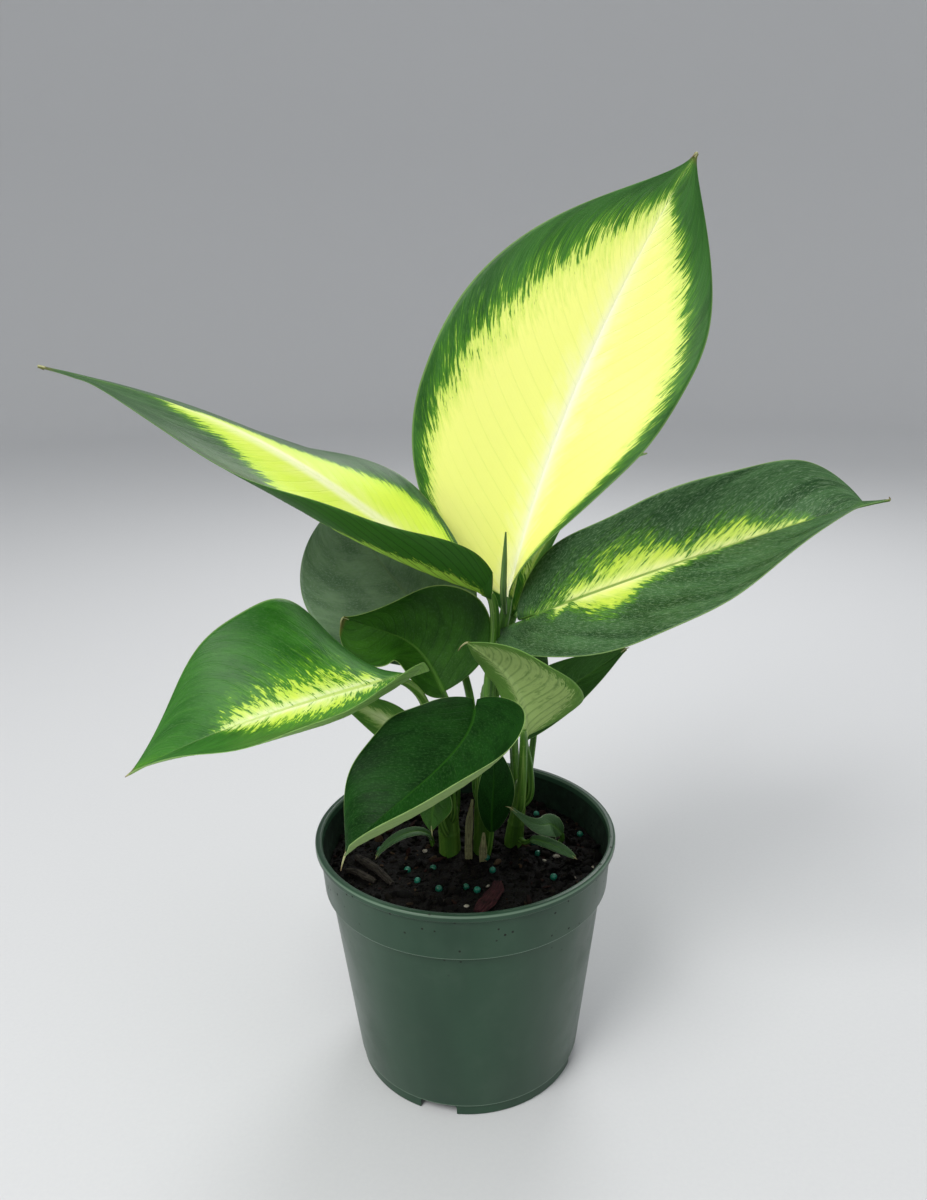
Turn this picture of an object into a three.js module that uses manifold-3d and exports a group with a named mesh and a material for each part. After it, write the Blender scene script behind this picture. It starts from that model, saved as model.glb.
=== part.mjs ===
// A potted dieffenbachia: a nursery pot, its soil, three canes and their leaves.
// Millimetres, +Z up. The origin is on the pot's axis, in the plane that the pot stands on.
// +X is to the right seen from the front, and -Y is the front.

import * as THREE from 'three';
import { mergeVertices } from 'three/addons/utils/BufferGeometryUtils.js';
import Module from 'manifold-3d';

const wasm = await Module();
wasm.setup();

// ---------------------------------------------------------------- driving dimensions

const GAP = 0.35;             // clear distance between two pieces that touch
const BLADE_THICKNESS = 0.8;
const BLADE_END = 0.7;        // half width that a blade keeps at its foot and at its tip
const BLADE_BEND = 8;         // tightest radius that a blade curls to
const FOLD_WIDTH = 1.2;       // distance from the midrib over which the two halves' fold is eased
const RIDGE_END = 0.25;       // size of the midrib's ridge where it fades out near the tip
const STALK_SIDES = 6;
const STALK_END = 3;          // length that a petiole runs on under its blade
const CANE_SIDES = 10;

const POT = {
  height: 95,
  lipRadius: 57,
  lipDepth: 2.8,       // height of the rolled lip
  lipWidth: 2.4,       // width of its flat top
  lipRound: 0.6,       // how far its edges are rounded off
  collarTop: 55.4,     // radius just under the lip
  collarFoot: 54.2,    // radius at the collar's sharp lower edge
  collarFootZ: 76,
  bodyTop: 52.3,       // radius of the body just under the collar
  bodyFoot: 43.8,
  wall: 1.3,
  footRing: 2.4,       // width of the ring that the pot stands on
  footHeight: 4.7,
  floor: 1.6,
  notches: 4,          // drain gaps through the foot ring
  notchWidth: 14,
  notchHeight: 4.1,
  notchAngle: -106,    // degrees, of the one that shows at the front
  drainHole: 5,        // radius of the holes in the floor
  drainCircle: 28,     // distance of those holes from the axis
  segments: 32,
};

const SOIL = {
  level: 82,
  lumps: 0.45,         // height of the broad lumps
  crumbs: 0.25,        // height of the crumbs on them
  edgeDip: 1.5,        // how far the soil falls off at the wall
  rings: 6,
};

const PRILL = { radius: 1.35, sunk: 0.5, drawn: 10, spacing: 6, spread: 46 };

// Canes: points of the middle line from the foot in the soil up, with the radius at each.
const CANES = {
  left: {
    points: [[-6, 3, 58], [-6, 3, 82], [-6.5, 2.5, 100], [-7, 2, 112]],
    radii: [4.4, 4.3, 3.9, 3],
    color: 0x5f8f35,
  },
  centre: {
    points: [[6, 2, 58], [6.5, 2, 82], [7.5, 2, 115], [8.5, 1.5, 140], [10, 1, 154]],
    radii: [3.6, 3.5, 3.2, 3, 2.6],
    color: 0x6c8a3e,
  },
  right: {
    points: [[18, 8, 58], [19, 7, 84], [21, 6.2, 100], [22.3, 6, 112]],
    radii: [4, 3.8, 2.6, 2.4],
    color: 0x7fa53a,
  },
};

// Leaves. rib: foot, two handles and tip of the midrib's curve. face: where the upper side looks.
// twist: turn about the midrib, in degrees. Each half, seen from above with the tip away, has its
// greatest width, and at foot, middle and tip the angle at which it leaves the midrib (rise) and
// how far it bends on to its edge (curl). widest: where along the rib; foot and tip: how blunt the
// outline is there; lobe: how far the half reaches back past the foot. A half that doesn't bend or
// reach back leaves out curl or lobe. stalk: the petiole from its cane to just below the blade.
// wave: height and number of the waves along the edge. cells: how many along the rib, and across
// each half.
const LEAVES = [
  {
    name: 'leaf_upright',
    color: 0xc9dc5a,
    rib: [[17, 4, 185], [29, 9, 238], [54, 15, 290], [79, 11, 332]],
    face: [0, -1, 0.15],
    twist: [4, 0, 0],
    left: { width: 51, rise: [5, 0, 0], widest: 0.38, foot: 0.7, tip: [2.6, 1.6] },
    right: { width: 35, rise: [80, 22, 4], curl: [30, 6, 4], widest: 0.54, foot: 0.8, tip: [2.5, 1.3] },
    stalk: [[10, 1, 152], [12.5, 2.4, 164], [15.5, 3.4, 177]],
    stalkRadii: [2.4, 1.6],
    wave: [1.2, 3],
    cells: [16, 3],
  },
  {
    name: 'leaf_long_left',
    color: 0x8fae48,
    rib: [[11, -8, 190], [-36, -14, 219], [-48, -18, 251], [-132, -16, 270]],
    face: [0.1, -0.45, 0.85],
    twist: [6, -7, -5],
    left: { width: 44, rise: [10, -21, -7], curl: [135, 88, -9], widest: 0.37, foot: 0.6, tip: [1.9, 1.2] },
    right: { width: 33, rise: [63, -8, -16], curl: [19, -19, -17], widest: 0.57, foot: 1.4, tip: [2, 1] },
    stalk: [[8.4, -1.8, 132], [9.6, -4.4, 156], [12, -5.4, 176]],
    stalkRadii: [2, 1.5],
    wave: [0.8, 3],
    cells: [18, 4],
  },
  {
    name: 'leaf_right',
    color: 0x3f6f47,
    rib: [[27, -6, 182], [51, -20, 196], [113.6, -31, 222], [135, -32.2, 225.4]],
    face: [-0.1, -0.25, 0.95],
    twist: [-7, -11, 11],
    left: {
      width: 25, rise: [30, 49, 13], curl: [4, 30, 2],
      widest: 0.42, foot: 0.4, tip: [2.3, 0.8], lobe: 9,
    },
    right: {
      width: 31, rise: [5, 5, 26], curl: [-5, 5, 16],
      widest: 0.35, foot: 0.4, tip: [1.8, 1], lobe: 13,
    },
    stalk: [[20.4, 9, 104], [19.4, 12, 126], [19.6, 14, 146], [23.6, 6.5, 168]],
    stalkRadii: [1.8, 1.4],
    wave: [1, 3],
    cells: [17, 3],
  },
  {
    name: 'leaf_low_left',
    color: 0x4f8a45,
    rib: [[-22, -20, 165], [-39, -37, 166], [-77, -45, 160], [-107, -48, 144]],
    face: [-0.1, -0.1, 0.98],
    twist: [-1, 8, -6],
    left: {
      width: 35, rise: [-10, -1, 19], curl: [97, 47, 9],
      widest: 0.38, foot: 0.5, tip: [2, 1], lobe: 10,
    },
    right: {
      width: 40, rise: [-1, 30, 11], curl: [-20, 13, 1],
      widest: 0.4, foot: 0.5, tip: [2, 1], lobe: 4,
    },
    stalk: [[-9.4, 0.8, 98], [-10, 0.4, 125], [-14.5, -5, 150]],
    stalkRadii: [1.9, 1.4],
    wave: [0.8, 3],
    cells: [16, 4],
  },
  {
    name: 'leaf_front',
    color: 0x1d4f26,
    rib: [[4, -32, 157], [3, -57, 151], [-28, -76, 143], [-36, -72, 128]],
    face: [0, -0.3, 0.95],
    twist: [1, 2, -9],
    left: {
      width: 28, rise: [10, 5, 14], curl: [23, 75, 54],
      widest: 0.42, foot: 0.5, tip: [1.8, 1.1], lobe: 6,
    },
    right: {
      width: 22, rise: [17, 19, 12], curl: [4, 3, 2],
      widest: 0.42, foot: 0.5, tip: [2.1, 0.9], lobe: 6,
    },
    stalk: [[7.2, -1.8, 106], [7, -6, 130], [6, -20, 151]],
    stalkRadii: [1.7, 1.3],
    wave: [0.6, 3],
    cells: [14, 4],
  },
  {
    name: 'leaf_back_left',
    color: 0x415f4a,
    rib: [[-5.1, 22, 160], [-22.5, 30, 183.8], [-39.9, 40, 195], [-43, 44, 215.5]],
    face: [0.25, -0.9, 0.35],
    twist: [0, 0, 0],
    left: { width: 36, rise: [15, 11, 5], widest: 0.46, foot: 0.5, tip: [2, 0.9], lobe: 4 },
    right: { width: 31, rise: [20, 15, 10], widest: 0.45, foot: 0.5, tip: [2, 0.9], lobe: 4 },
    stalk: [[5, 4.6, 106], [4, 8, 130], [2.4, 13, 145], [-1, 19, 155]],
    stalkRadii: [1.7, 1.3],
    wave: [0.8, 3],
    cells: [12, 3],
  },
  {
    name: 'leaf_cupped',
    color: 0x3f6d22,
    rib: [[-7.3, 3.5, 149.2], [-16.4, 12, 169.5], [-22.4, 16, 166.1], [-42.9, 6, 178]],
    face: [0.15, -0.93, 0.3],
    twist: [-1, -4, 16],
    left: {
      width: 17, rise: [18, 32, -2], curl: [18, 46, 31],
      widest: 0.55, foot: 0.5, tip: [2.6, 0.4], lobe: 2,
    },
    right: { width: 29, rise: [17, 25, 18], curl: [7, 16, 17], widest: 0.41, foot: 0.7, tip: [1.6, 1.1] },
    stalk: [[-4, 4.6, 98], [-3.4, 5.4, 124], [-5, 5, 140]],
    stalkRadii: [1.7, 1.3],
    wave: [0.5, 3],
    cells: [14, 3],
  },
  {
    name: 'leaf_pale',
    color: 0x8fb463,
    rib: [[22, -6, 135], [22, -13, 161], [12, -21, 169], [2, -24, 178]],
    face: [0.1, 0.95, 0.3],
    twist: [-4, 10, 3],
    left: { width: 25, rise: [15, -9, -2], curl: [8, -11, -6], widest: 0.4, foot: 0.6, tip: [1.9, 1.1] },
    right: { width: 8, rise: [14, 10, 8], curl: [3, 0, -2], widest: 0.44, foot: 0.6, tip: [2, 1] },
    stalk: [[21.4, 2.8, 102], [22, -0.6, 117], [22, -3.8, 127]],
    stalkRadii: [1.8, 1.3],
    wave: [0.4, 3],
    cells: [12, 3],
  },
  {
    name: 'leaf_right_small',
    color: 0x2f5f2c,
    rib: [[23, 2, 130], [28, 8, 143], [40, 14, 144], [62, 14, 161]],
    face: [-0.1, -0.8, 0.5],
    twist: [0, 0, 0],
    left: { width: 12, rise: [10, 10, 10], widest: 0.45, foot: 0.6, tip: [2, 1] },
    right: { width: 8, rise: [10, 10, 10], widest: 0.45, foot: 0.6, tip: [2, 1] },
    stalk: [[25, 5.4, 104], [25, 3.6, 118]],
    stalkRadii: [1.4, 1.1],
    wave: [0.4, 3],
    cells: [10, 2],
  },
  {
    name: 'leaf_behind_pale',
    color: 0x6f8f72,
    rib: [[27.7, 15, 130], [26.7, 19, 150], [26.5, 20, 167], [19, 16, 168]],
    face: [-0.1, -0.7, 0.7],
    twist: [0, 0, 0],
    left: { width: 7, rise: [5, 5, 5], widest: 0.5, foot: 0.6, tip: [2, 1] },
    right: { width: 7, rise: [5, 5, 5], widest: 0.5, foot: 0.6, tip: [2, 1] },
    stalk: [[23.6, 8.8, 102], [26, 11.6, 117]],
    stalkRadii: [1.4, 1.1],
    wave: [0.3, 2],
    cells: [10, 2],
  },
  {
    name: 'leaf_back',
    color: 0x4c7a48,
    rib: [[20, 12, 178], [30.2, 32, 199.5], [51, 60, 220.7], [80.5, 84, 224.4]],
    face: [-0.2, -0.6, 0.8],
    twist: [0, 0, 0],
    left: { width: 20, rise: [15, 10, 5], widest: 0.42, foot: 0.5, tip: [2, 1], lobe: 3 },
    right: { width: 20, rise: [15, 10, 5], widest: 0.42, foot: 0.5, tip: [2, 1], lobe: 3 },
    stalk: [[10.6, 4, 136], [13.5, 7.5, 156], [17, 10.5, 169]],
    stalkRadii: [1.7, 1.3],
    wave: [0.8, 3],
    cells: [14, 2],
  },
  {
    name: 'leaf_striped',
    color: 0x93aa66,
    rib: [[-12, -9, 125], [-18, -8, 135], [-30, -7, 148], [-44, -8, 150]],
    face: [0.3, -0.9, 0.35],
    twist: [0, -4, 0],
    left: { width: 7, rise: [5, 9, 5], curl: [0, 3, 0], widest: 0.5, foot: 0.6, tip: [2, 1] },
    right: { width: 7, rise: [5, 4, 5], widest: 0.5, foot: 0.6, tip: [2, 1] },
    stalk: [[-8, -2.4, 95], [-11.4, -5.4, 112]],
    stalkRadii: [1.4, 1],
    wave: [0.3, 2],
    cells: [9, 2],
  },
  {
    name: 'leaf_under_front',
    color: 0x6a8f3e,
    rib: [[-9, -11, 118], [-10.5, -13, 115], [-12.5, -16, 110], [-12, -20, 105]],
    face: [-0.2, -0.85, 0.5],
    twist: [0, 0, 0],
    left: { width: 7, rise: [5, 5, 5], widest: 0.5, foot: 0.6, tip: [2, 1] },
    right: { width: 5, rise: [5, 5, 5], widest: 0.5, foot: 0.6, tip: [2, 1] },
    stalk: [[-4.4, -1.4, 100], [-4.6, -6, 112], [-6, -9.4, 118]],
    stalkRadii: [1.3, 1],
    wave: [0.2, 2],
    cells: [7, 2],
  },
  {
    name: 'leaf_between_canes',
    color: 0x2f5a26,
    rib: [[10, -4.5, 95], [10, -7, 115], [12, -10, 119], [10, -10, 136]],
    face: [0.1, -0.95, 0.2],
    twist: [0, 0, 0],
    left: { width: 6, rise: [10, 10, 10], widest: 0.4, foot: 0.6, tip: [2, 1] },
    right: { width: 8, rise: [10, 10, 10], widest: 0.4, foot: 0.6, tip: [2, 1] },
    stalk: [[8.4, -1.4, 84], [9.4, -3, 90]],
    stalkRadii: [1.3, 1],
    wave: [0.2, 2],
    cells: [9, 2],
  },
  {
    name: 'seedling_leaf_left',
    color: 0x5d8758,
    rib: [[-13, 8, 85], [-16, 4, 95], [-30, 0, 91], [-34, -4, 85]],
    face: [0, -0.5, 0.85],
    twist: [0, 0, 0],
    left: { width: 2, rise: [10, 10, 10], widest: 0.5, foot: 0.6, tip: [2, 1] },
    right: { width: 2, rise: [10, 10, 10], widest: 0.5, foot: 0.6, tip: [2, 1] },
    stalk: [[-12.6, 8.4, 72], [-12.8, 8.2, 79]],
    stalkRadii: [1, 0.8],
    wave: [0, 1],
    cells: [8, 1],
  },
  {
    name: 'seedling_leaf_right',
    color: 0x7f9f84,
    rib: [[37.3, 1, 90.3], [29.3, -2, 102.4], [33.3, -5, 90.3], [17, -9, 107.5]],
    face: [-0.2, -0.7, 0.7],
    twist: [0, 0, 0],
    left: { width: 6, rise: [10, 6, 10], curl: [0, -3, 0], widest: 0.3, foot: 0.5, tip: [1.5, 1] },
    right: { width: 4, rise: [10, 10, 10], widest: 0.3, foot: 0.5, tip: [1.5, 1] },
    stalk: [[33, 5, 72], [34.5, 4.5, 81], [37.6, 3, 87]],
    stalkRadii: [1, 0.8],
    wave: [0.2, 2],
    cells: [10, 2],
  },
  {
    name: 'seedling_leaf_low',
    color: 0x86a86c,
    rib: [[24.4, -6, 91.8], [25.5, -10.6, 96.6], [36.3, -12.6, 92.5], [40.4, -15.6, 90.1]],
    face: [-0.2, -0.7, 0.7],
    twist: [0, 0, 0],
    left: { width: 2, rise: [10, 10, 10], widest: 0.5, foot: 0.7, tip: [2.5, 0.8] },
    right: { width: 2, rise: [10, 10, 10], widest: 0.5, foot: 0.7, tip: [2.5, 0.8] },
    stalk: [[21, 4.6, 86], [23.2, 0, 87.5]],
    stalkRadii: [1, 0.8],
    wave: [0, 1],
    cells: [7, 1],
  },
];

// The newest leaf, still rolled up, beside the petiole of the upright leaf.
const ROLLED_LEAF = {
  points: [[15.9, 1.3, 180], [15.3, -1.2, 185], [15, -3.4, 191], [15.4, -4, 200], [16, -4, 211]],
  radii: [0.7, 1.1, 1.3, 1, 0.3],
  color: 0x86a24a,
};

// Dry papery sheaths in front of the centre cane's foot: narrow strips that stand in the soil.
const SHEATHS = {
  points: [
    [[1.2, -2.6, 77], [1.2, -3, 90], [1.8, -3, 100], [3, -2.8, 108]],
    [[6.8, -4, 77], [6.6, -4.8, 84], [6.8, -5.2, 90], [7, -5, 95]],
  ],
  radii: [1.6, 2.2, 1.8, 0.6],
  flat: 0.22,          // thickness over width
  color: 0xa89f7a,
};

// Bark on the soil: the two ends of each piece's middle line, its half width and half height.
const BARK = [
  {
    name: 'bark_chip', ends: [[5, -37], [13, -20]],
    width: 3.2, height: 1.2, color: 0x5b3236, seed: 11,
  },
  {
    name: 'bark_twig_long', ends: [[-42, -1], [-27, -19]],
    width: 1.9, height: 1.5, color: 0x55504a, seed: 5,
  },
  {
    name: 'bark_twig_short', ends: [[-45, -9], [-34, -18]],
    width: 1.5, height: 1.3, color: 0x4b463f, seed: 8,
  },
];

// The prills that show at the front; the others are drawn at random.
const PRILLS_IN_FRONT = [
  [8, -4], [10, -12], [-18, -17], [0, -22], [4, -24], [46, 14], [28, 0], [-22, -10],
];

// ---------------------------------------------------------------- small helpers

const vector = (p) => new THREE.Vector3(p[0], p[1], p[2]);
const radians = THREE.MathUtils.degToRad;
const mix = THREE.MathUtils.lerp;

// Seeded random numbers, 0 to 1.
function randomFrom(seed) {
  let state = seed;
  return () => {
    state = (state * 1664525 + 1013904223) % 4294967296;
    return state / 4294967296;
  };
}

function geometryFrom(positions, triangles) {
  const geometry = new THREE.BufferGeometry();
  geometry.setAttribute('position', new THREE.Float32BufferAttribute(positions, 3));
  geometry.setIndex(triangles);
  return geometry;
}

function toSolid(source) {
  source.deleteAttribute('normal');
  source.deleteAttribute('uv');
  const geometry = mergeVertices(source, 1e-4);
  return new wasm.Manifold(new wasm.Mesh({
    numProp: 3,
    vertProperties: new Float32Array(geometry.attributes.position.array),
    triVerts: new Uint32Array(geometry.index.array),
  }));
}

// The largest closed body of a solid, without the scraps that a cut leaves.
function mainBody(solid) {
  return solid.decompose().reduce((best, body) => (body.volume() > best.volume() ? body : best));
}

function toMesh(name, solid, color, roughness) {
  const { vertProperties, triVerts } = mainBody(solid).getMesh();
  const geometry = geometryFrom(Array.from(vertProperties), Array.from(triVerts));
  geometry.computeVertexNormals();
  const material = new THREE.MeshStandardMaterial({ color, roughness, metalness: 0 });
  const mesh = new THREE.Mesh(geometry, material);
  mesh.name = name;
  return mesh;
}

// Value at u (0 to 1) of a curve through three stations: foot, middle and tip.
function stations([foot, middle, tip], u) {
  return foot * (1 - u) * (1 - 2 * u) + 4 * middle * u * (1 - u) + tip * u * (2 * u - 1);
}

// Joins rings of the same number of points into a closed skin with a fan at each end.
function skinOf(rings, firstEnd, lastEnd) {
  const sides = rings[0].length;
  const positions = [...rings.flat(), firstEnd, lastEnd].flatMap((p) => p.toArray());
  const first = rings.length * sides;
  const last = first + 1;
  const triangles = [];
  for (let k = 0; k < sides; k += 1) {
    const next = (k + 1) % sides;
    for (let i = 0; i < rings.length - 1; i += 1) {
      const p = i * sides;
      const q = p + sides;
      triangles.push(p + k, p + next, q + next, p + k, q + next, q + k);
    }
    const top = (rings.length - 1) * sides;
    triangles.push(first, next, k, last, top + k, top + next);
  }
  return toSolid(geometryFrom(positions, triangles));
}

// A closed tube along points, with a radius at each; grow widens and lengthens it, flat squashes
// its section upright, and draw gives random numbers that make it knobbly.
function tube(points, radii, { sides, steps, grow = 0, flat = 1, draw = () => 0 }) {
  const curve = new THREE.CatmullRomCurve3(points.map(vector), false, 'centripetal');
  const across = Math.abs(curve.getTangent(0).x) > 0.7
    ? new THREE.Vector3(0, 1, 0) : new THREE.Vector3(1, 0, 0);
  const rings = [];
  const centres = [];
  for (let i = 0; i <= steps; i += 1) {
    const centre = curve.getPoint(i / steps);
    const along = curve.getTangent(i / steps);
    if (i === 0) centre.addScaledVector(along, -grow);
    if (i === steps) centre.addScaledVector(along, grow);
    across.addScaledVector(along, -across.dot(along)).normalize();
    const upward = new THREE.Vector3().crossVectors(along, across);
    const place = (i / steps) * (radii.length - 1);
    const cell = Math.min(Math.floor(place), radii.length - 2);
    const radius = mix(radii[cell], radii[cell + 1], place - cell);
    centres.push(centre);
    rings.push(Array.from({ length: sides }, (_, k) => {
      const angle = (2 * Math.PI * k) / sides;
      const size = radius * (1 - 0.25 * draw());
      return centre.clone()
        .addScaledVector(across, (size + grow) * Math.cos(angle))
        .addScaledVector(upward, (size * flat + grow) * Math.sin(angle));
    }));
  }
  return skinOf(rings, centres[0], centres[steps]);
}

// ---------------------------------------------------------------- leaves

// How much of its greatest width a half has at u.
function outline(half, u) {
  if (u < half.widest) return Math.max(1 - (1 - u / half.widest) ** 2, 0) ** half.foot;
  const beyond = (u - half.widest) / (1 - half.widest);
  return Math.max(1 - beyond ** half.tip[0], 0) ** half.tip[1];
}

// The midrib's point at u, and the directions along it, to its right and out of its upper side.
function ribFrame(leaf, u) {
  const curve = new THREE.CubicBezierCurve3(...leaf.rib.map(vector));
  const along = curve.getTangent(u);
  const level = new THREE.Vector3().crossVectors(along, vector(leaf.face)).normalize();
  const plumb = new THREE.Vector3().crossVectors(level, along);
  const turn = radians(stations(leaf.twist, u));
  const right = level.clone().multiplyScalar(Math.cos(turn)).addScaledVector(plumb, Math.sin(turn));
  const up = plumb.clone().multiplyScalar(Math.cos(turn)).addScaledVector(level, -Math.sin(turn));
  return { point: curve.getPoint(u), along, right, up };
}

function halfWidth(half, u) {
  return Math.max(half.width * outline(half, u), BLADE_END);
}

// A point of the blade's middle surface and the direction out of its upper side there; v is -1 at
// the left edge, 0 on the midrib and 1 at the right edge.
function bladePoint(leaf, u, v) {
  const frame = ribFrame(leaf, u);
  const side = Math.sign(v);
  const half = side < 0 ? leaf.left : leaf.right;
  const { curl: bend = [0, 0, 0], lobe = 0 } = half;
  const s = Math.abs(v);
  const width = halfWidth(half, u);
  const rise = radians(stations(half.rise, u));
  const tightest = width / BLADE_BEND;
  const curl = THREE.MathUtils.clamp(radians(stations(bend, u)) + 1e-6, -tightest, tightest);
  const sideways = (Math.sin(rise + curl * s) - Math.sin(rise)) / curl;
  const upward = (Math.cos(rise) - Math.cos(rise + curl * s)) / curl;
  const back = lobe * Math.max(1 - u / 0.3, 0) ** 2 * s ** 1.5;
  const [height, count] = leaf.wave;
  const wave = height * s ** 3 * Math.sin(2 * Math.PI * count * u + side) * outline(half, u);
  const point = frame.point.clone()
    .addScaledVector(frame.right, width * sideways * side)
    .addScaledVector(frame.up, width * upward + wave)
    .addScaledVector(frame.along, -back);
  const foldLean = radians(stations(leaf.left.rise, u) - stations(leaf.right.rise, u)) / 2;
  const lean = mix(foldLean, -side * (rise + curl * s), Math.min((s * width) / FOLD_WIDTH, 1));
  const normal = frame.up.clone().multiplyScalar(Math.cos(lean))
    .addScaledVector(frame.right, Math.sin(lean));
  return { point, normal };
}

// Size of the midrib's ridge under the blade, which carries on the petiole.
function ridgeSize(leaf, u) {
  return Math.max(leaf.stalkRadii[1] * (1 - u), RIDGE_END);
}

// The places across the blade at u: the edges, the cells between, and each side of the ridge.
function columnsAt(leaf, u) {
  const cells = leaf.cells[1];
  const places = (half) => {
    const ridge = Math.min(0.5 / cells, (1.2 * ridgeSize(leaf, u)) / halfWidth(half, u));
    return [ridge, ...Array.from({ length: cells }, (_, k) => (k + 1) / cells)];
  };
  return [...places(leaf.left).reverse().map((s) => -s), 0, ...places(leaf.right)];
}

// A closed blade: the same triangles on its upper and lower side, joined round the edge. Its rows
// lie closer together near the foot and the tip, where the outline turns.
function blade(leaf) {
  const rows = leaf.cells[0];
  const rowPlace = (i) => mix(i / rows, 0.5 - 0.5 * Math.cos((Math.PI * i) / rows), 0.7);
  const middle = Array.from({ length: rows + 1 }, (_, i) => (
    columnsAt(leaf, rowPlace(i)).map((v) => bladePoint(leaf, rowPlace(i), v))
  ));
  const columns = middle[0].length;
  const rib = (columns - 1) / 2;
  const upper = [];
  const lower = [];
  middle.forEach((row, i) => {
    row.forEach(({ point, normal }, j) => {
      const ridge = j === rib ? ridgeSize(leaf, rowPlace(i)) : 0;
      upper.push(point.clone().addScaledVector(normal, BLADE_THICKNESS / 2));
      lower.push(point.clone().addScaledVector(normal, -BLADE_THICKNESS / 2 - ridge));
    });
  });
  const offset = upper.length;
  const triangles = [];
  for (let i = 0; i < rows; i += 1) {
    for (let j = 0; j < columns - 1; j += 1) {
      const a = i * columns + j;
      const b = a + 1;
      const c = a + columns;
      const d = c + 1;
      const halves = j < rib ? [[a, b, c], [b, d, c]] : [[a, d, c], [a, b, d]];
      halves.forEach(([p, q, r]) => {
        triangles.push(p, q, r);
        triangles.push(offset + p, offset + r, offset + q);
      });
    }
  }
  const rim = [];
  for (let j = 0; j < columns - 1; j += 1) rim.push(j);
  for (let i = 0; i < rows; i += 1) rim.push(i * columns + columns - 1);
  for (let j = columns - 1; j > 0; j -= 1) rim.push(rows * columns + j);
  for (let i = rows; i > 0; i -= 1) rim.push(i * columns);
  rim.forEach((a, k) => {
    const b = rim[(k + 1) % rim.length];
    triangles.push(a, offset + a, b, b, offset + a, offset + b);
  });
  return toSolid(geometryFrom([...upper, ...lower].flatMap((p) => p.toArray()), triangles));
}

// The petiole, which runs a little way on under the blade's foot.
function petiole(leaf, grow = 0) {
  const [atCane, atBlade] = leaf.stalkRadii;
  const length = new THREE.CubicBezierCurve3(...leaf.rib.map(vector)).getLength();
  const under = [0, STALK_END / length].map((u) => {
    const frame = ribFrame(leaf, u);
    return frame.point.clone().addScaledVector(frame.up, -0.6 * atBlade).toArray();
  });
  const points = [...leaf.stalk, ...under];
  const radii = points.map((_, i) => mix(atCane, atBlade, i / (points.length - 1)));
  return tube(points, radii, { sides: STALK_SIDES, steps: 2 * (points.length - 1), grow });
}

// ---------------------------------------------------------------- pot

function turnedPot() {
  const p = POT;
  const ringInside = p.bodyFoot - p.footRing;
  const lipInside = p.lipRadius - p.lipWidth;
  const lipFoot = p.height - p.lipDepth;
  const profile = [
    [0, p.footHeight],
    [ringInside, p.footHeight],
    [ringInside, 0],
    [p.bodyFoot - 0.2, 0],
    [p.bodyFoot, p.footHeight],
    [p.bodyTop, p.collarFootZ],
    [p.collarFoot, p.collarFootZ],
    [p.collarTop, lipFoot],
    [p.lipRadius, lipFoot + 0.2],
    [p.lipRadius, p.height - p.lipRound],
    [p.lipRadius - p.lipRound, p.height],
    [lipInside + p.lipRound, p.height],
    [p.collarTop - p.wall, lipFoot],
    [p.collarFoot - p.wall, p.collarFootZ + p.wall],
    [p.bodyTop - p.wall, p.collarFootZ - p.wall],
    [p.bodyFoot - p.wall, p.footHeight + p.floor],
    [0, p.footHeight + p.floor],
  ];
  const shell = new THREE.LatheGeometry(profile.map(([r, z]) => new THREE.Vector2(r, z)), p.segments);
  shell.rotateX(Math.PI / 2);
  return toSolid(shell);
}

function pot() {
  const p = POT;
  let solid = turnedPot();
  for (let i = 0; i < p.notches; i += 1) {
    const angle = radians(p.notchAngle + (360 * i) / p.notches);
    const notch = new THREE.BoxGeometry(4 * p.footRing, p.notchWidth, 2 * p.notchHeight);
    notch.translate(p.bodyFoot, 0, 0);
    notch.rotateZ(angle);
    const hole = new THREE.CylinderGeometry(p.drainHole, p.drainHole, 4 * p.floor, 16);
    hole.rotateX(Math.PI / 2);
    hole.translate(p.drainCircle, 0, p.footHeight + p.floor / 2);
    hole.rotateZ(angle);
    solid = solid.subtract(toSolid(notch)).subtract(toSolid(hole));
  }
  return toMesh('pot', solid, 0x47684f, 0.35);
}

// ---------------------------------------------------------------- soil and what lies on it

// 0 where a piece of bark lies, 1 a little way off.
function clearOfBark(x, y) {
  const place = new THREE.Vector3(x, y, 0);
  const distances = BARK.map(({ ends, width }) => {
    const line = new THREE.Line3(...ends.map(([px, py]) => new THREE.Vector3(px, py, 0)));
    const nearest = line.closestPointToPoint(place, true, new THREE.Vector3());
    return nearest.distanceTo(place) - width;
  });
  return THREE.MathUtils.smoothstep(Math.min(...distances), 3, 7);
}

function soilHeight(x, y) {
  const lumps = Math.sin(0.31 * x + 1.3) * Math.cos(0.27 * y - 0.4)
    + 0.6 * Math.sin(0.55 * x - 0.43 * y + 2.1) + 0.4 * Math.cos(0.71 * y + 0.2 * x);
  const edge = Math.hypot(x, y) / POT.collarFoot;
  return SOIL.level + SOIL.lumps * lumps * clearOfBark(x, y) - SOIL.edgeDip * edge ** 6;
}

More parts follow.
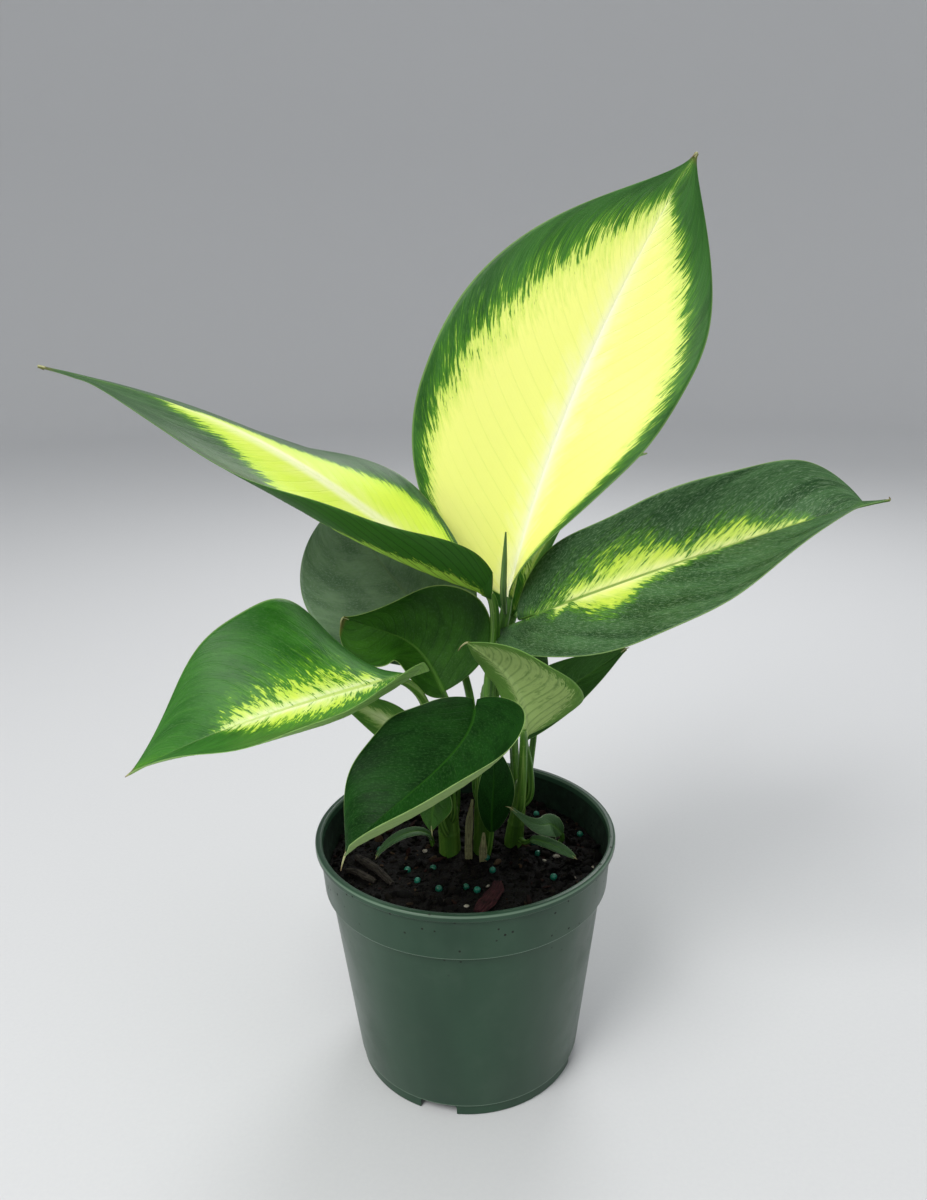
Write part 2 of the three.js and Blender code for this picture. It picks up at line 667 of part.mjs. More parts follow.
function soilBody() {
  const draw = randomFrom(3);
  const bottom = POT.footHeight + POT.floor + GAP;
  const mouth = POT.collarFoot - POT.wall - GAP;
  const ring = (radius, height) => Array.from({ length: POT.segments }, (_, k) => {
    const angle = (2 * Math.PI * k) / POT.segments;
    const [x, y] = [radius * Math.cos(angle), radius * Math.sin(angle)];
    return new THREE.Vector3(x, y, height(x, y));
  });
  const crumbly = (x, y) => soilHeight(x, y) + SOIL.crumbs * (2 * draw() - 1) * clearOfBark(x, y);
  const rings = [
    ring(POT.bodyFoot - POT.wall - GAP, () => bottom),
    ring(POT.bodyTop - POT.wall - GAP, () => POT.collarFootZ - POT.wall),
    ring(mouth, () => POT.collarFootZ + POT.wall),
  ];
  for (let i = SOIL.rings; i >= 1; i -= 1) rings.push(ring((mouth * i) / SOIL.rings, crumbly));
  return skinOf(rings, new THREE.Vector3(0, 0, bottom), new THREE.Vector3(0, 0, soilHeight(0, 0)));
}

function prillPlaces() {
  const draw = randomFrom(21);
  const places = PRILLS_IN_FRONT.map((p) => [...p]);
  while (places.length < PRILLS_IN_FRONT.length + PRILL.drawn) {
    const angle = 2 * Math.PI * draw();
    const radius = PRILL.spread * Math.sqrt(draw());
    const [x, y] = [radius * Math.cos(angle), radius * Math.sin(angle)];
    const apart = places.every((p) => Math.hypot(p[0] - x, p[1] - y) > PRILL.spacing);
    const offCanes = Math.hypot(x - 6, y - 4) > 20 && Math.hypot(x - 33, y - 5) > 5;
    if (apart && offCanes && clearOfBark(x, y) > 0.9) places.push([x, y]);
  }
  return places;
}

function soil(feet) {
  let solid = soilBody();
  prillPlaces().forEach(([x, y]) => {
    const prill = new THREE.IcosahedronGeometry(PRILL.radius, 0);
    prill.translate(x, y, soilHeight(x, y) + PRILL.radius - PRILL.sunk);
    solid = solid.add(toSolid(prill));
  });
  feet.forEach((foot) => { solid = solid.subtract(foot); });
  return toMesh('soil', solid, 0x1d1916, 0.95);
}

function bark({ name, ends: [a, b], width, height, color, seed }) {
  const draw = randomFrom(seed);
  const sizes = [0.7, 1, 0.95, 0.6];
  const points = sizes.map((size, i) => {
    const t = i / (sizes.length - 1);
    const x = mix(a[0], b[0], t) + (draw() - 0.5) * width;
    const y = mix(a[1], b[1], t) + (draw() - 0.5) * width;
    return [x, y, soilHeight(x, y) + GAP + height * size];
  });
  const radii = sizes.map((size) => size * width);
  return toMesh(name, tube(points, radii, { sides: 8, steps: 6, flat: height / width, draw }), color, 0.9);
}

// ---------------------------------------------------------------- the plant

function cane({ points, radii }, grow = 0) {
  return tube(points, radii, { sides: CANE_SIDES, steps: 10, grow });
}

function sheath(points, grow = 0) {
  return tube(points, SHEATHS.radii, { sides: 8, steps: 6, flat: SHEATHS.flat, grow });
}

const group = new THREE.Group();
const canes = Object.values(CANES);
const caneHoles = canes.map((piece) => cane(piece, GAP * 1.1));
const petioleHoles = LEAVES.map((leaf) => petiole(leaf, GAP * 1.2));
const sheathHoles = SHEATHS.points.map((points) => sheath(points, GAP * 1.4));

group.add(pot());
group.add(soil([...caneHoles, ...petioleHoles, ...sheathHoles]));
BARK.forEach((piece) => group.add(bark(piece)));
Object.entries(CANES).forEach(([name, piece]) => {
  group.add(toMesh(`cane_${name}`, cane(piece), piece.color, 0.5));
});
SHEATHS.points.forEach((points, i) => {
  group.add(toMesh(`dry_sheath_${i + 1}`, sheath(points), SHEATHS.color, 0.8));
});
LEAVES.forEach((leaf) => {
  let solid = blade(leaf).add(petiole(leaf));
  caneHoles.forEach((hole) => { solid = solid.subtract(hole); });
  group.add(toMesh(leaf.name, solid, leaf.color, 0.45));
});
const rolledLeaf = tube(ROLLED_LEAF.points, ROLLED_LEAF.radii, { sides: STALK_SIDES, steps: 8 });
group.add(toMesh('rolled_leaf', rolledLeaf, ROLLED_LEAF.color, 0.5));

export default group;
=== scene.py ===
"""The looks of a potted dieffenbachia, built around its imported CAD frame.

Lengths are in millimetres in this script, and become metres where a mesh is made (MM).
+X is to the right seen from the front, -Y is the front, and +Z is up the pot's axis.
"""

import math
import random

import bmesh
import bpy
import numpy as np
from mathutils import Matrix, Vector, noise


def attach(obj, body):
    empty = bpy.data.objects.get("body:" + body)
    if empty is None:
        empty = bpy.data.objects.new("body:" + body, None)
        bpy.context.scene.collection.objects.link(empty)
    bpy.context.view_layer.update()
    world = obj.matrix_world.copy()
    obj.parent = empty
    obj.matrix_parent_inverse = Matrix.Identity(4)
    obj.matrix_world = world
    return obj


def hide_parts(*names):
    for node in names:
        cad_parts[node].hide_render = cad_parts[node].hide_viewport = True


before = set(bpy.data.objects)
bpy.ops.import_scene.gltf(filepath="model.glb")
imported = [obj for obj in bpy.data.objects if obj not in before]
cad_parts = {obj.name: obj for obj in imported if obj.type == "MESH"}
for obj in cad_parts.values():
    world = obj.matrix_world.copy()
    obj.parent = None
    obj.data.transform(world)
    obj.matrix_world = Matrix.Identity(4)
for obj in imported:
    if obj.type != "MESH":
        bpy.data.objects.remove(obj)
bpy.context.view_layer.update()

MM = 0.001

# ---------------------------------------------------------------- driving dimensions

POT = {
    "height": 95,
    "lip_radius": 57,
    "lip_depth": 2.8,
    "lip_width": 2.4,
    "collar_top": 55.4,
    "collar_foot": 54.2,
    "collar_foot_z": 76,
    "body_top": 52.3,
    "body_foot": 43.8,
    "wall": 1.3,
    "foot_ring": 2.4,
    "foot_height": 4.7,
    "floor": 1.6,
    "notches": 4,
    "notch_width": 14,
    "notch_height": 4.1,
    "notch_angle": -106,
    "drain_hole": 5,
    "drain_circle": 28,
    "segments": 192,
}

SOIL = {"level": 82, "lumps": 0.45, "edge_dip": 1.5, "rings": 90, "segments": 240, "crumbs": 2600}
GAP = 0.35                 # between the soil and the pot
MOUND = {"height": 1, "reach": 7}  # of the soil drawn up against each cane
PRILL = {"radius": 1.35, "sunk": 0.5, "drawn": 10, "spacing": 6, "spread": 46}
PRILL_FREE = [((6, 4), 20), ((33, 5), 5)]  # round the canes and a petiole, with no drawn prills
PRILLS_IN_FRONT = [(8, -4), (10, -12), (-18, -17), (0, -22), (4, -24), (46, 14), (28, 0), (-22, -10)]
WHITE_BITS = [(30, -5), (35, -2), (48, -9), (40, -16), (-16, 3), (-9, 8), (-8, -30), (0, -33), (8, -21)]

# Points of each cane's middle line from its foot in the soil up, with the radius at each.
CANES = {
    "cane_left": ([(-6, 3, 58), (-6, 3, 82), (-6.5, 2.5, 100), (-7, 2, 112)], (4.4, 4.3, 3.9, 3)),
    "cane_centre": (
        [(6, 2, 58), (6.5, 2, 82), (7.5, 2, 115), (8.5, 1.5, 140), (10, 1, 154)],
        (3.6, 3.5, 3.2, 3, 2.6),
    ),
    "cane_right": ([(18, 8, 58), (19, 7, 84), (21, 6.2, 100), (22.3, 6, 112)], (4, 3.8, 2.6, 2.4)),
}

SHEATHS = {
    "dry_sheath_1": [(1.2, -2.6, 77), (1.2, -3, 90), (1.8, -3, 100), (3, -2.8, 108)],
    "dry_sheath_2": [(6.8, -4, 77), (6.6, -4.8, 84), (6.8, -5.2, 90), (7, -5, 95)],
}
SHEATH_RADII = (1.6, 2.2, 1.8, 0.6)
SHEATH_FLAT = 0.22         # half thickness of a dry strip
SHEATH_SHARE = 0.72        # its width as a share of its solid's, which is kept sound by being wider
CANE_DOME = 0.94           # share of a cane's length where its end starts to round off

ROLLED_LEAF = [(15.9, 1.3, 180), (15.3, -1.2, 185), (15, -3.4, 191), (15.4, -4, 200), (16, -4, 211)]
ROLLED_RADII = (0.7, 1.1, 1.3, 1, 0.3)

# Bark on the soil: the ends of each piece's middle line, its half width, half height and finish.
BARK = {
    "bark_chip": {"ends": ((5, -37), (13, -20)), "width": 3.2, "height": 1.2, "seed": 11,
                  "slot": "bark_red"},
    "bark_twig_long": {"ends": ((-42, -1), (-27, -19)), "width": 1.9, "height": 1.5, "seed": 5,
                       "slot": "bark_grey"},
    "bark_twig_short": {"ends": ((-45, -9), (-34, -18)), "width": 1.5, "height": 1.3, "seed": 8,
                        "slot": "bark_grey"},
}


def half(width, rise, curl=(0, 0, 0), widest=0.5, foot=0.6, tip=(2, 1), lobe=0):
    """One half of a blade: its greatest width, its angles at foot, middle and tip, and its outline."""
    return {
        "width": width, "rise": rise, "curl": curl,
        "widest": widest, "foot": foot, "tip": tip, "lobe": lobe,
    }


def level(angle):
    """The same angle at foot, middle and tip."""
    return (angle, angle, angle)


NO_YELLOW = ((0, 1), (-1, -1), (1, 1))


def leaf_plan(**given):
    """One leaf's numbers, with what most leaves have alike filled in."""
    return {"twist": level(0), "sweep": 0.3, "yellow": (NO_YELLOW, NO_YELLOW), **given}


# look, slot: the leaf's material and its finish. rib: foot, two handles and tip of the midrib's
# curve. beak: last share of the rib, where the blade is only a narrow point. face: where the upper
# side looks. twist: turn about the midrib. left, right: the two halves. stalk: the petiole from its
# cane to just below the blade. radii: the petiole's, at the cane and at the blade. wave: height and
# number of the waves along the edge. grid: rows along, columns on each half. veins: spacing of the
# side veins. sweep: how far they run forward. hook: where the hair at the tip ends, seen from the
# tip. yellow: for each half, places along the rib, how far across the half the yellow reaches there
# (below 0: not at all), and the length of the streaks that it ends in.
LEAVES = {
    "leaf_upright": leaf_plan(
        look="lime", slot="leaf_lime",
        rib=((17, 4, 185), (29, 9, 238), (54, 15, 290), (79, 11, 331.5)),
        face=(0, -1, 0.15), twist=(4, 0, 0),
        left=half(51, (5, 0, 0), widest=0.38, foot=0.7, tip=(2.6, 1.6)),
        right=half(35, (80, 22, 4), (30, 6, 4), 0.54, 0.8, (2.5, 1.3)),
        stalk=((10, 1, 152), (12.5, 2.4, 164), (15.5, 3.4, 177)), radii=(2.4, 1.6),
        wave=(1.2, 3), grid=(190, 34), veins=7.5, hook=(-1.6, -0.5, -1.2),
        yellow=(
            ((0, 0.12, 0.3, 0.5, 0.65, 0.78, 0.86, 0.92),
             (0.96, 0.92, 0.87, 0.76, 0.63, 0.48, 0.3, -0.1),
             (2, 2.5, 5, 10, 12, 10, 7, 4)),
            ((0, 0.3, 0.5, 0.65, 0.76, 0.85, 0.92),
             (0.84, 0.86, 0.88, 0.8, 0.64, 0.36, -0.2),
             (2, 2.5, 4, 5, 6, 6, 4)),
        ),
    ),
    "leaf_long_left": leaf_plan(
        look="folded", slot="leaf_lime",
        rib=((11, -8, 190), (-36, -14, 219), (-48, -18, 251), (-131.2, -16, 269.8)),
        beak=0.05, face=(0.1, -0.45, 0.85), twist=(6, -7, -5),
        left=half(44, (10, -21, -7), (135, 88, -9), 0.37, 0.6, (1.9, 1.2)),
        right=half(33, (63, -8, -16), (19, -19, -17), 0.57, 1.4),
        stalk=((8.4, -1.8, 132), (9.6, -4.4, 156), (12, -5.4, 176)), radii=(2, 1.5),
        wave=(0.8, 3), grid=(190, 34), veins=6.5, hook=(1.5, 0.3, -1.2),
        yellow=(
            ((0, 0.1, 0.25, 0.4, 0.5, 0.6, 0.7, 0.8, 0.88),
             (0.52, 0.64, 0.68, 0.65, 0.56, 0.4, 0.25, 0.12, -0.2),
             (2, 3, 4.5, 5.5, 6, 5, 4, 3, 2)),
            ((0, 0.15, 0.3, 0.45, 0.6, 0.75, 0.85),
             (0.9, 0.85, 0.72, 0.55, 0.3, 0.1, -0.3),
             (2, 2, 3, 3, 3, 2, 2)),
        ),
    ),
    "leaf_right": leaf_plan(
        look="dark_flamed", slot="leaf_dark",
        rib=((27, -6, 182), (51, -20, 196), (113.6, -31, 222), (134.2, -32.2, 225.2)),
        beak=0.1, face=(-0.1, -0.25, 0.95), twist=(-7, -11, 11),
        left=half(24, (30, 49, 13), (4, 30, 2), 0.42, 0.4, (3.5, 0.62), 9),
        right=half(31, (5, 5, 26), (-5, 5, 16), 0.35, 0.4, (1.8, 1), 17),
        stalk=((20.4, 9, 104), (19.4, 12, 126), (19.6, 14, 146), (23.6, 6.5, 168)),
        radii=(1.8, 1.4),
        wave=(1, 3), grid=(170, 32), sweep=0.32, veins=6, hook=(-0.9, -1.5, 1.4),
        yellow=(
            ((0.02, 0.07, 0.19, 0.3, 0.39, 0.44, 0.5, 0.58, 0.64, 0.74, 0.78),
             (-0.1, 0.08, 0.26, 0.4, 0.36, 0.16, 0.22, 0.26, 0.12, 0.02, -0.3),
             (5, 6, 9, 10, 9, 7, 7, 7, 6, 4, 4)),
            ((0.05, 0.1, 0.13, 0.17, 0.25, 0.3, 0.34, 0.42, 0.55, 0.65),
             (0, 0.24, 0.02, 0.26, 0.38, 0.28, 0.1, 0.05, 0, -0.2),
             (4, 5, 4, 6, 7, 6, 4, 3, 3, 3)),
        ),
    ),
    "leaf_low_left": leaf_plan(
        look="flamed", slot="leaf_flamed",
        rib=((-22, -20, 165), (-39, -37, 166), (-77, -45, 160), (-107, -48, 144)),
        face=(-0.1, -0.1, 0.98), twist=(-1, 8, -6),
        left=half(35, (-10, -1, 19), (97, 47, 9), 0.38, 0.75, lobe=12),
        right=half(40, (-1, 30, 11), (-20, 13, 1), 0.4, 0.5, lobe=4),
        stalk=((-9.4, 0.8, 98), (-10, 0.4, 125), (-14.5, -5, 150)), radii=(1.9, 1.4),
        wave=(0.8, 3), grid=(170, 34), veins=6, hook=(-1.6, 0, -1.1),
        yellow=(
            ((0.03, 0.1, 0.2, 0.35, 0.5, 0.62, 0.72),
             (-0.1, 0.08, 0.16, 0.24, 0.24, 0.14, -0.2),
             (5, 7, 9, 10, 9, 7, 5)),
            ((0.03, 0.1, 0.2, 0.3, 0.45, 0.6, 0.68, 0.75),
             (-0.1, 0.08, 0.16, 0.2, 0.2, 0.16, 0.08, -0.2),
             (5, 8, 12, 14, 13, 10, 8, 5)),
        ),
    ),
    "leaf_front": leaf_plan(
        look="glossy", slot="leaf_dark",
        rib=((4, -32, 157), (3, -57, 151), (-28, -76, 143), (-36, -72, 128)),
        face=(0, -0.3, 0.95), twist=(1, 2, -9),
        left=half(28, (10, 5, 14), (23, 75, 54), 0.42, 0.5, (1.8, 1.1), 6),
        right=half(22, (17, 19, 12), (4, 3, 2), 0.42, 0.5, (2.1, 0.9), 6),
        stalk=((7.2, -1.8, 106), (7, -6, 130), (6, -20, 151)), radii=(1.7, 1.3),
        wave=(0.6, 3), grid=(130, 28), veins=5, hook=(-1.6, -0.6, -5.2),
    ),
    "leaf_back_left": leaf_plan(
        look="grey", slot="leaf_dark",
        rib=((-5.1, 22, 160), (-22.5, 30, 183.8), (-39.9, 40, 195), (-43, 44, 215.5)),
        face=(0.25, -0.9, 0.35),
        left=half(36, (15, 11, 5), widest=0.46, foot=0.5, tip=(2, 0.9), lobe=4),
        right=half(31, (20, 15, 10), widest=0.45, foot=0.5, tip=(2, 0.9), lobe=4),
        stalk=((5, 4.6, 106), (4, 8, 130), (2.4, 13, 145), (-1, 19, 155)), radii=(1.7, 1.3),
        wave=(0.8, 3), grid=(120, 30), veins=6, hook=(-0.5, -0.5, 1.6),
    ),
    "leaf_cupped": leaf_plan(
        look="mid", slot="leaf_green",
        rib=((-7.3, 3.5, 149.2), (-16.4, 12, 169.5), (-22.4, 16, 166.1), (-42.9, 6, 178)),
        face=(0.15, -0.93, 0.3), twist=(-1, -4, 16),
        left=half(19, (18, 32, -2), (18, 46, 31), 0.5, 0.5, (2.6, 0.4), 2),
        right=half(31, (17, 25, 18), (7, 16, 17), 0.3, 0.5, (1.6, 1.1)),
        stalk=((-4, 4.6, 98), (-3.4, 5.4, 124), (-5, 5, 140)), radii=(1.7, 1.3),
        wave=(0.5, 3), grid=(120, 28), veins=4.5, hook=(-1.0, -2.2, -3.0),
    ),
    "leaf_pale": leaf_plan(
        look="pale", slot="leaf_pale",
        rib=((22, -6, 135), (22, -13, 161), (12, -21, 169), (2, -24, 178)),
        face=(0.1, 0.95, 0.3), twist=(-4, 10, 3),
        left=half(25, (15, -9, -2), (8, -11, -6), 0.4, 0.6, (1.9, 1.1)),
        right=half(8, (14, 10, 8), (3, 0, -2), 0.44, 0.6),
        stalk=((21.4, 2.8, 102), (22, -0.6, 117), (22, -3.8, 127)), radii=(1.8, 1.3),
        wave=(0.4, 3), grid=(120, 26), sweep=0.34, veins=4, hook=(-3.2, -1.0, -2.6),
        yellow=(
            ((0, 0.2, 0.5, 0.7, 0.85, 1), (0.75, 0.8, 0.85, 0.8, 0.6, 0.2), (3, 4, 5, 5, 4, 3)),
            ((0, 0.2, 0.5, 0.8, 1), (0.2, 0.2, 0.3, 0.3, 0.2), (3, 3, 3, 3, 3)),
        ),
    ),
    "leaf_right_small": leaf_plan(
        look="small", slot="leaf_dark",
        rib=((23, 2, 130), (28, 8, 143), (40, 14, 144), (62, 14, 161)),
        face=(-0.1, -0.8, 0.5),
        left=half(12, level(10), widest=0.45), right=half(8, level(10), widest=0.45),
        stalk=((25, 5.4, 104), (25, 3.6, 118)), radii=(1.4, 1.1),
        wave=(0.4, 3), grid=(80, 18), veins=4, hook=(1.3, 0, 0.4),
    ),
    "leaf_behind_pale": leaf_plan(
        look="sage", slot="leaf_dark",
        rib=((27.7, 15, 130), (26.7, 19, 150), (26.5, 20, 167), (19, 16, 168)),
        face=(-0.1, -0.7, 0.7),
        left=half(7, level(5)), right=half(7, level(5)),
        stalk=((23.6, 8.8, 102), (26, 11.6, 117)), radii=(1.4, 1.1),
        wave=(0.3, 2), grid=(70, 16), veins=3.5, hook=(-1.2, -0.8, -0.6),
    ),
    "leaf_back": leaf_plan(
        look="flamed", slot="leaf_green",
        rib=((20, 12, 178), (30.2, 32, 199.5), (51, 60, 220.7), (80.5, 84, 224.4)),
        face=(-0.2, -0.6, 0.8),
        left=half(20, (15, 10, 5), widest=0.42, foot=0.5, lobe=3),
        right=half(12, (50, 50, 40), widest=0.36, foot=0.5, lobe=3),
        stalk=((10.6, 4, 136), (13.5, 7.5, 156), (17, 10.5, 169)), radii=(1.7, 1.3),
        wave=(0.8, 3), grid=(140, 26), veins=5.5, hook=(-1.4, -0.8, -0.6),
        yellow=(
            ((0.05, 0.3, 0.6, 0.85), (-0.1, 0.26, 0.22, -0.2), (4, 6, 6, 4)),
            ((0.05, 0.3, 0.6, 0.85), (-0.1, 0.24, 0.26, -0.2), (4, 6, 6, 4)),
        ),
    ),
    "leaf_striped": leaf_plan(
        look="pale", slot="leaf_pale",
        rib=((-12, -9, 125), (-18, -8, 135), (-30, -7, 148), (-44, -8, 150)),
        face=(0.3, -0.9, 0.35), twist=(0, -4, 0),
        left=half(7, (5, 9, 5), (0, 3, 0)), right=half(7, (5, 4, 5)),
        stalk=((-8, -2.4, 95), (-11.4, -5.4, 112)), radii=(1.4, 1),
        wave=(0.3, 2), grid=(70, 18), sweep=0.4, veins=3, hook=(-1.2, 0, 0.4),
        yellow=(
            ((0, 0.3, 0.7, 1), (0.5, 0.6, 0.5, 0.1), (2, 2, 2, 2)),
            ((0, 0.3, 0.7, 1), (0.6, 0.6, 0.4, 0.1), (2, 2, 2, 2)),
        ),
    ),
    "leaf_under_front": leaf_plan(
        look="mid", slot="leaf_green",
        rib=((-9, -11, 118), (-10.5, -13, 115), (-12.5, -16, 110), (-12, -20, 105)),
        face=(-0.2, -0.85, 0.5),
        left=half(7, level(5)), right=half(5, level(5)),
        stalk=((-4.4, -1.4, 100), (-4.6, -6, 112), (-6, -9.4, 118)), radii=(1.3, 1),
        wave=(0.2, 2), grid=(50, 14), veins=3, hook=(0.2, -0.3, -2.6),
    ),
    "leaf_between_canes": leaf_plan(
        look="glossy", slot="leaf_dark",
        rib=((10, -4.5, 95), (10, -7, 115), (12, -10, 119), (10, -10, 136)),
        face=(0.1, -0.95, 0.2),
        left=half(6, level(10), widest=0.4), right=half(8, level(10), widest=0.4),
        stalk=((8.4, -1.4, 84), (9.4, -3, 90)), radii=(1.3, 1),
        wave=(0.2, 2), grid=(70, 16), sweep=0.4, veins=3, hook=(0, -0.2, 1.4),
    ),
    "seedling_leaf_left": leaf_plan(
        look="sage", slot="leaf_pale",
        rib=((-13, 8, 85), (-16, 4, 95), (-30, 0, 91), (-34, -4, 85)),
        face=(0, -0.5, 0.85),
        left=half(2, level(10)), right=half(2, level(10)),
        stalk=((-12.6, 8.4, 72), (-12.8, 8.2, 79)), radii=(1, 0.8),
        wave=(0, 1), grid=(60, 10), veins=2.5, hook=(-0.6, -0.6, -1.0),
    ),
    "seedling_leaf_right": leaf_plan(
        look="sage", slot="leaf_pale",
        rib=((37.3, 1, 90.3), (29.3, -2, 102.4), (33.3, -5, 90.3), (17, -9, 107.5)),
        face=(-0.2, -0.7, 0.7),
        left=half(6, (10, 6, 10), (0, -3, 0), 0.3, 0.5, (1.5, 1)),
        right=half(4, level(10), widest=0.3, foot=0.5, tip=(1.5, 1)),
        stalk=((33, 5, 72), (34.5, 4.5, 81), (37.6, 3, 87)), radii=(1, 0.8),
        wave=(0.2, 2), grid=(70, 14), veins=2.5, hook=(-2.0, -0.6, 1.0),
    ),
    "seedling_leaf_low": leaf_plan(
        look="sage", slot="leaf_pale",
        rib=((24.4, -6, 91.8), (25.5, -10.6, 96.6), (36.3, -12.6, 92.5), (40.4, -15.6, 90.1)),
        face=(-0.2, -0.7, 0.7),
        left=half(2, level(10), foot=0.7, tip=(2.5, 0.8)),
        right=half(2, level(10), foot=0.7, tip=(2.5, 0.8)),
        stalk=((21, 4.6, 86), (23.2, 0, 87.5)), radii=(1, 0.8),
        wave=(0, 1), grid=(50, 10), veins=2.5, hook=(0.8, -0.5, -0.5),
    ),
}

BLADE_THICKNESS = 0.46     # of a blade by its midrib
EDGE_THINNING = 0.55       # share of that thickness that is gone at the edge
BLADE_END = 0.7            # half width that a blade keeps at its foot and at its tip
BEAK_FLARE = 1.1           # how much wider a narrow point is where it leaves the blade
BLADE_BEND = 8             # tightest radius that a blade curls to
VEIN_RELIEF = 0.16         # height of the swell between two side veins
EVEN_ROWS = 0.3            # share of a blade's rows that are evenly spaced; the rest crowd to its ends
CROWD_TO_RIB = 1.4         # how much its columns crowd to the midrib
STALK_END = 3              # length that a petiole runs on under its blade
FOOT_DROP = 6              # how far a petiole's foot runs down
FOOT_REACH = 6.5           # and how near a cane must be for the foot to run into it
HOOK_ROOT = 1.5            # length of a tip's hair that lies on the blade
HOOK_SHARE = 0.28          # thickness of that hair, as a share of the petiole's


# ---------------------------------------------------------------- helpers for meshes

def unit(vectors):
    return vectors / np.linalg.norm(vectors, axis=-1, keepdims=True)


def stations(values, u):
    """Value at u (0 to 1) of a curve through three stations: foot, middle and tip."""
    foot, middle, tip = values
    return foot * (1 - u) * (1 - 2 * u) + 4 * middle * u * (1 - u) + tip * u * (2 * u - 1)


def smoothstep(value, low, high):
    t = np.clip((value - low) / (high - low), 0, 1)
    return t * t * (3 - 2 * t)


class Shape:
    """Collects closed skins, in millimetres, and makes one Blender object of them.

    Each vertex carries three pairs of numbers, which become the UV maps that the materials read:
    vein (millimetres along and across), blade (0 to 1 along and across) and zone (on a leaf, how
    far inside the yellow, and 1 on the underside; on the pot, 1 inside, and its height).
    """

    MAPS = ("vein", "blade", "zone")

    def __init__(self):
        self.points = []
        self.faces = []
        self.kinds = []
        self.maps = {name: [] for name in self.MAPS}
        self.count = 0

    def add(self, points, faces, kind=0, **maps):
        points = np.asarray(points, float).reshape(-1, 3)
        self.points.append(points)
        self.faces.extend([tuple(i + self.count for i in face) for face in faces])
        self.kinds.extend([kind] * len(faces))
        for name in self.MAPS:
            pairs = maps.get(name)
            if pairs is None:
                pairs = np.zeros((len(points), 2))
            self.maps[name].append(np.asarray(pairs, float).reshape(-1, 2))
        self.count += len(points)

    def build(self, name, materials, sharp=None):
        mesh = bpy.data.meshes.new(name)
        mesh.from_pydata(np.concatenate(self.points) * MM, [], self.faces)
        for material in materials:
            mesh.materials.append(material)
        mesh.polygons.foreach_set("material_index", self.kinds)
        mesh.polygons.foreach_set("use_smooth", [True] * len(self.faces))
        corners = np.zeros(len(mesh.loops), int)
        mesh.loops.foreach_get("vertex_index", corners)
        for map_name in self.MAPS:
            pairs = np.concatenate(self.maps[map_name])
            layer = mesh.uv_layers.new(name=map_name)
            layer.uv.foreach_set("vector", pairs[corners].astype(np.float32).ravel())
        if sharp is not None:
            mesh.set_sharp_from_angle(angle=math.radians(sharp))
        mesh.update()
        thing = bpy.data.objects.new(name, mesh)
        bpy.context.scene.collection.objects.link(thing)
        return thing


def put(thing, node):
    """Sets the piece on its body, in place of its CAD node."""
    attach(thing, "root")
    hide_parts(node)


def closed_grid(rows, columns):
    """Faces of two grids, the upper one and then the lower one, joined round their edge."""
    index = np.arange(rows * columns).reshape(rows, columns)
    a, b = index[:-1, :-1].ravel(), index[:-1, 1:].ravel()
    c, d = index[1:, 1:].ravel(), index[1:, :-1].ravel()
    offset = rows * columns
    faces = np.stack([a, b, c, d], 1).tolist()
    faces += (np.stack([d, c, b, a], 1) + offset).tolist()
    rim = [*index[0, :-1], *index[:-1, -1], *index[-1, :0:-1], *index[:0:-1, 0]]
    for k, p in enumerate(rim):
        q = rim[(k + 1) % len(rim)]
        faces.append([p, p + offset, q + offset, q])
    return faces


def stacked_rings(rings, sides):
    """Faces of rings of points, one above another, closed by the two points that follow them."""
    index = np.arange(rings * sides).reshape(rings, sides)
    following = np.roll(index, -1, axis=1)
    faces = np.stack([
        index[:-1].ravel(), following[:-1].ravel(), following[1:].ravel(), index[1:].ravel(),
    ], 1).tolist()
    foot, top = index.size, index.size + 1
    faces += [[foot, following[0, k], index[0, k]] for k in range(sides)]
    faces += [[top, index[-1, k], following[-1, k]] for k in range(sides)]
    return faces


def smooth_path(points, count):
    """Points and directions along a centripetal Catmull-Rom curve through the points."""
    given = np.array(points, float)
    ends = np.vstack([2 * given[0] - given[1], given, 2 * given[-1] - given[-2]])
    path = []
    for place in np.linspace(0, len(given) - 1, count):
        i = min(int(place), len(given) - 2)
        t = place - i
        p0, p1, p2, p3 = ends[i:i + 4]
        d0, d1, d2 = (math.sqrt(np.linalg.norm(q - p)) for p, q in ((p0, p1), (p1, p2), (p2, p3)))
        m1 = ((p1 - p0) / d0 - (p2 - p0) / (d0 + d1) + (p2 - p1) / d1) * d1
        m2 = ((p2 - p1) / d1 - (p3 - p1) / (d1 + d2) + (p3 - p2) / d2) * d1
        path.append(
            (2 * t**3 - 3 * t**2 + 1) * p1 + (t**3 - 2 * t**2 + t) * m1
            + (3 * t**2 - 2 * t**3) * p2 + (t**3 - t**2) * m2
        )
    path = np.array(path)
    return path, unit(np.gradient(path, axis=0))


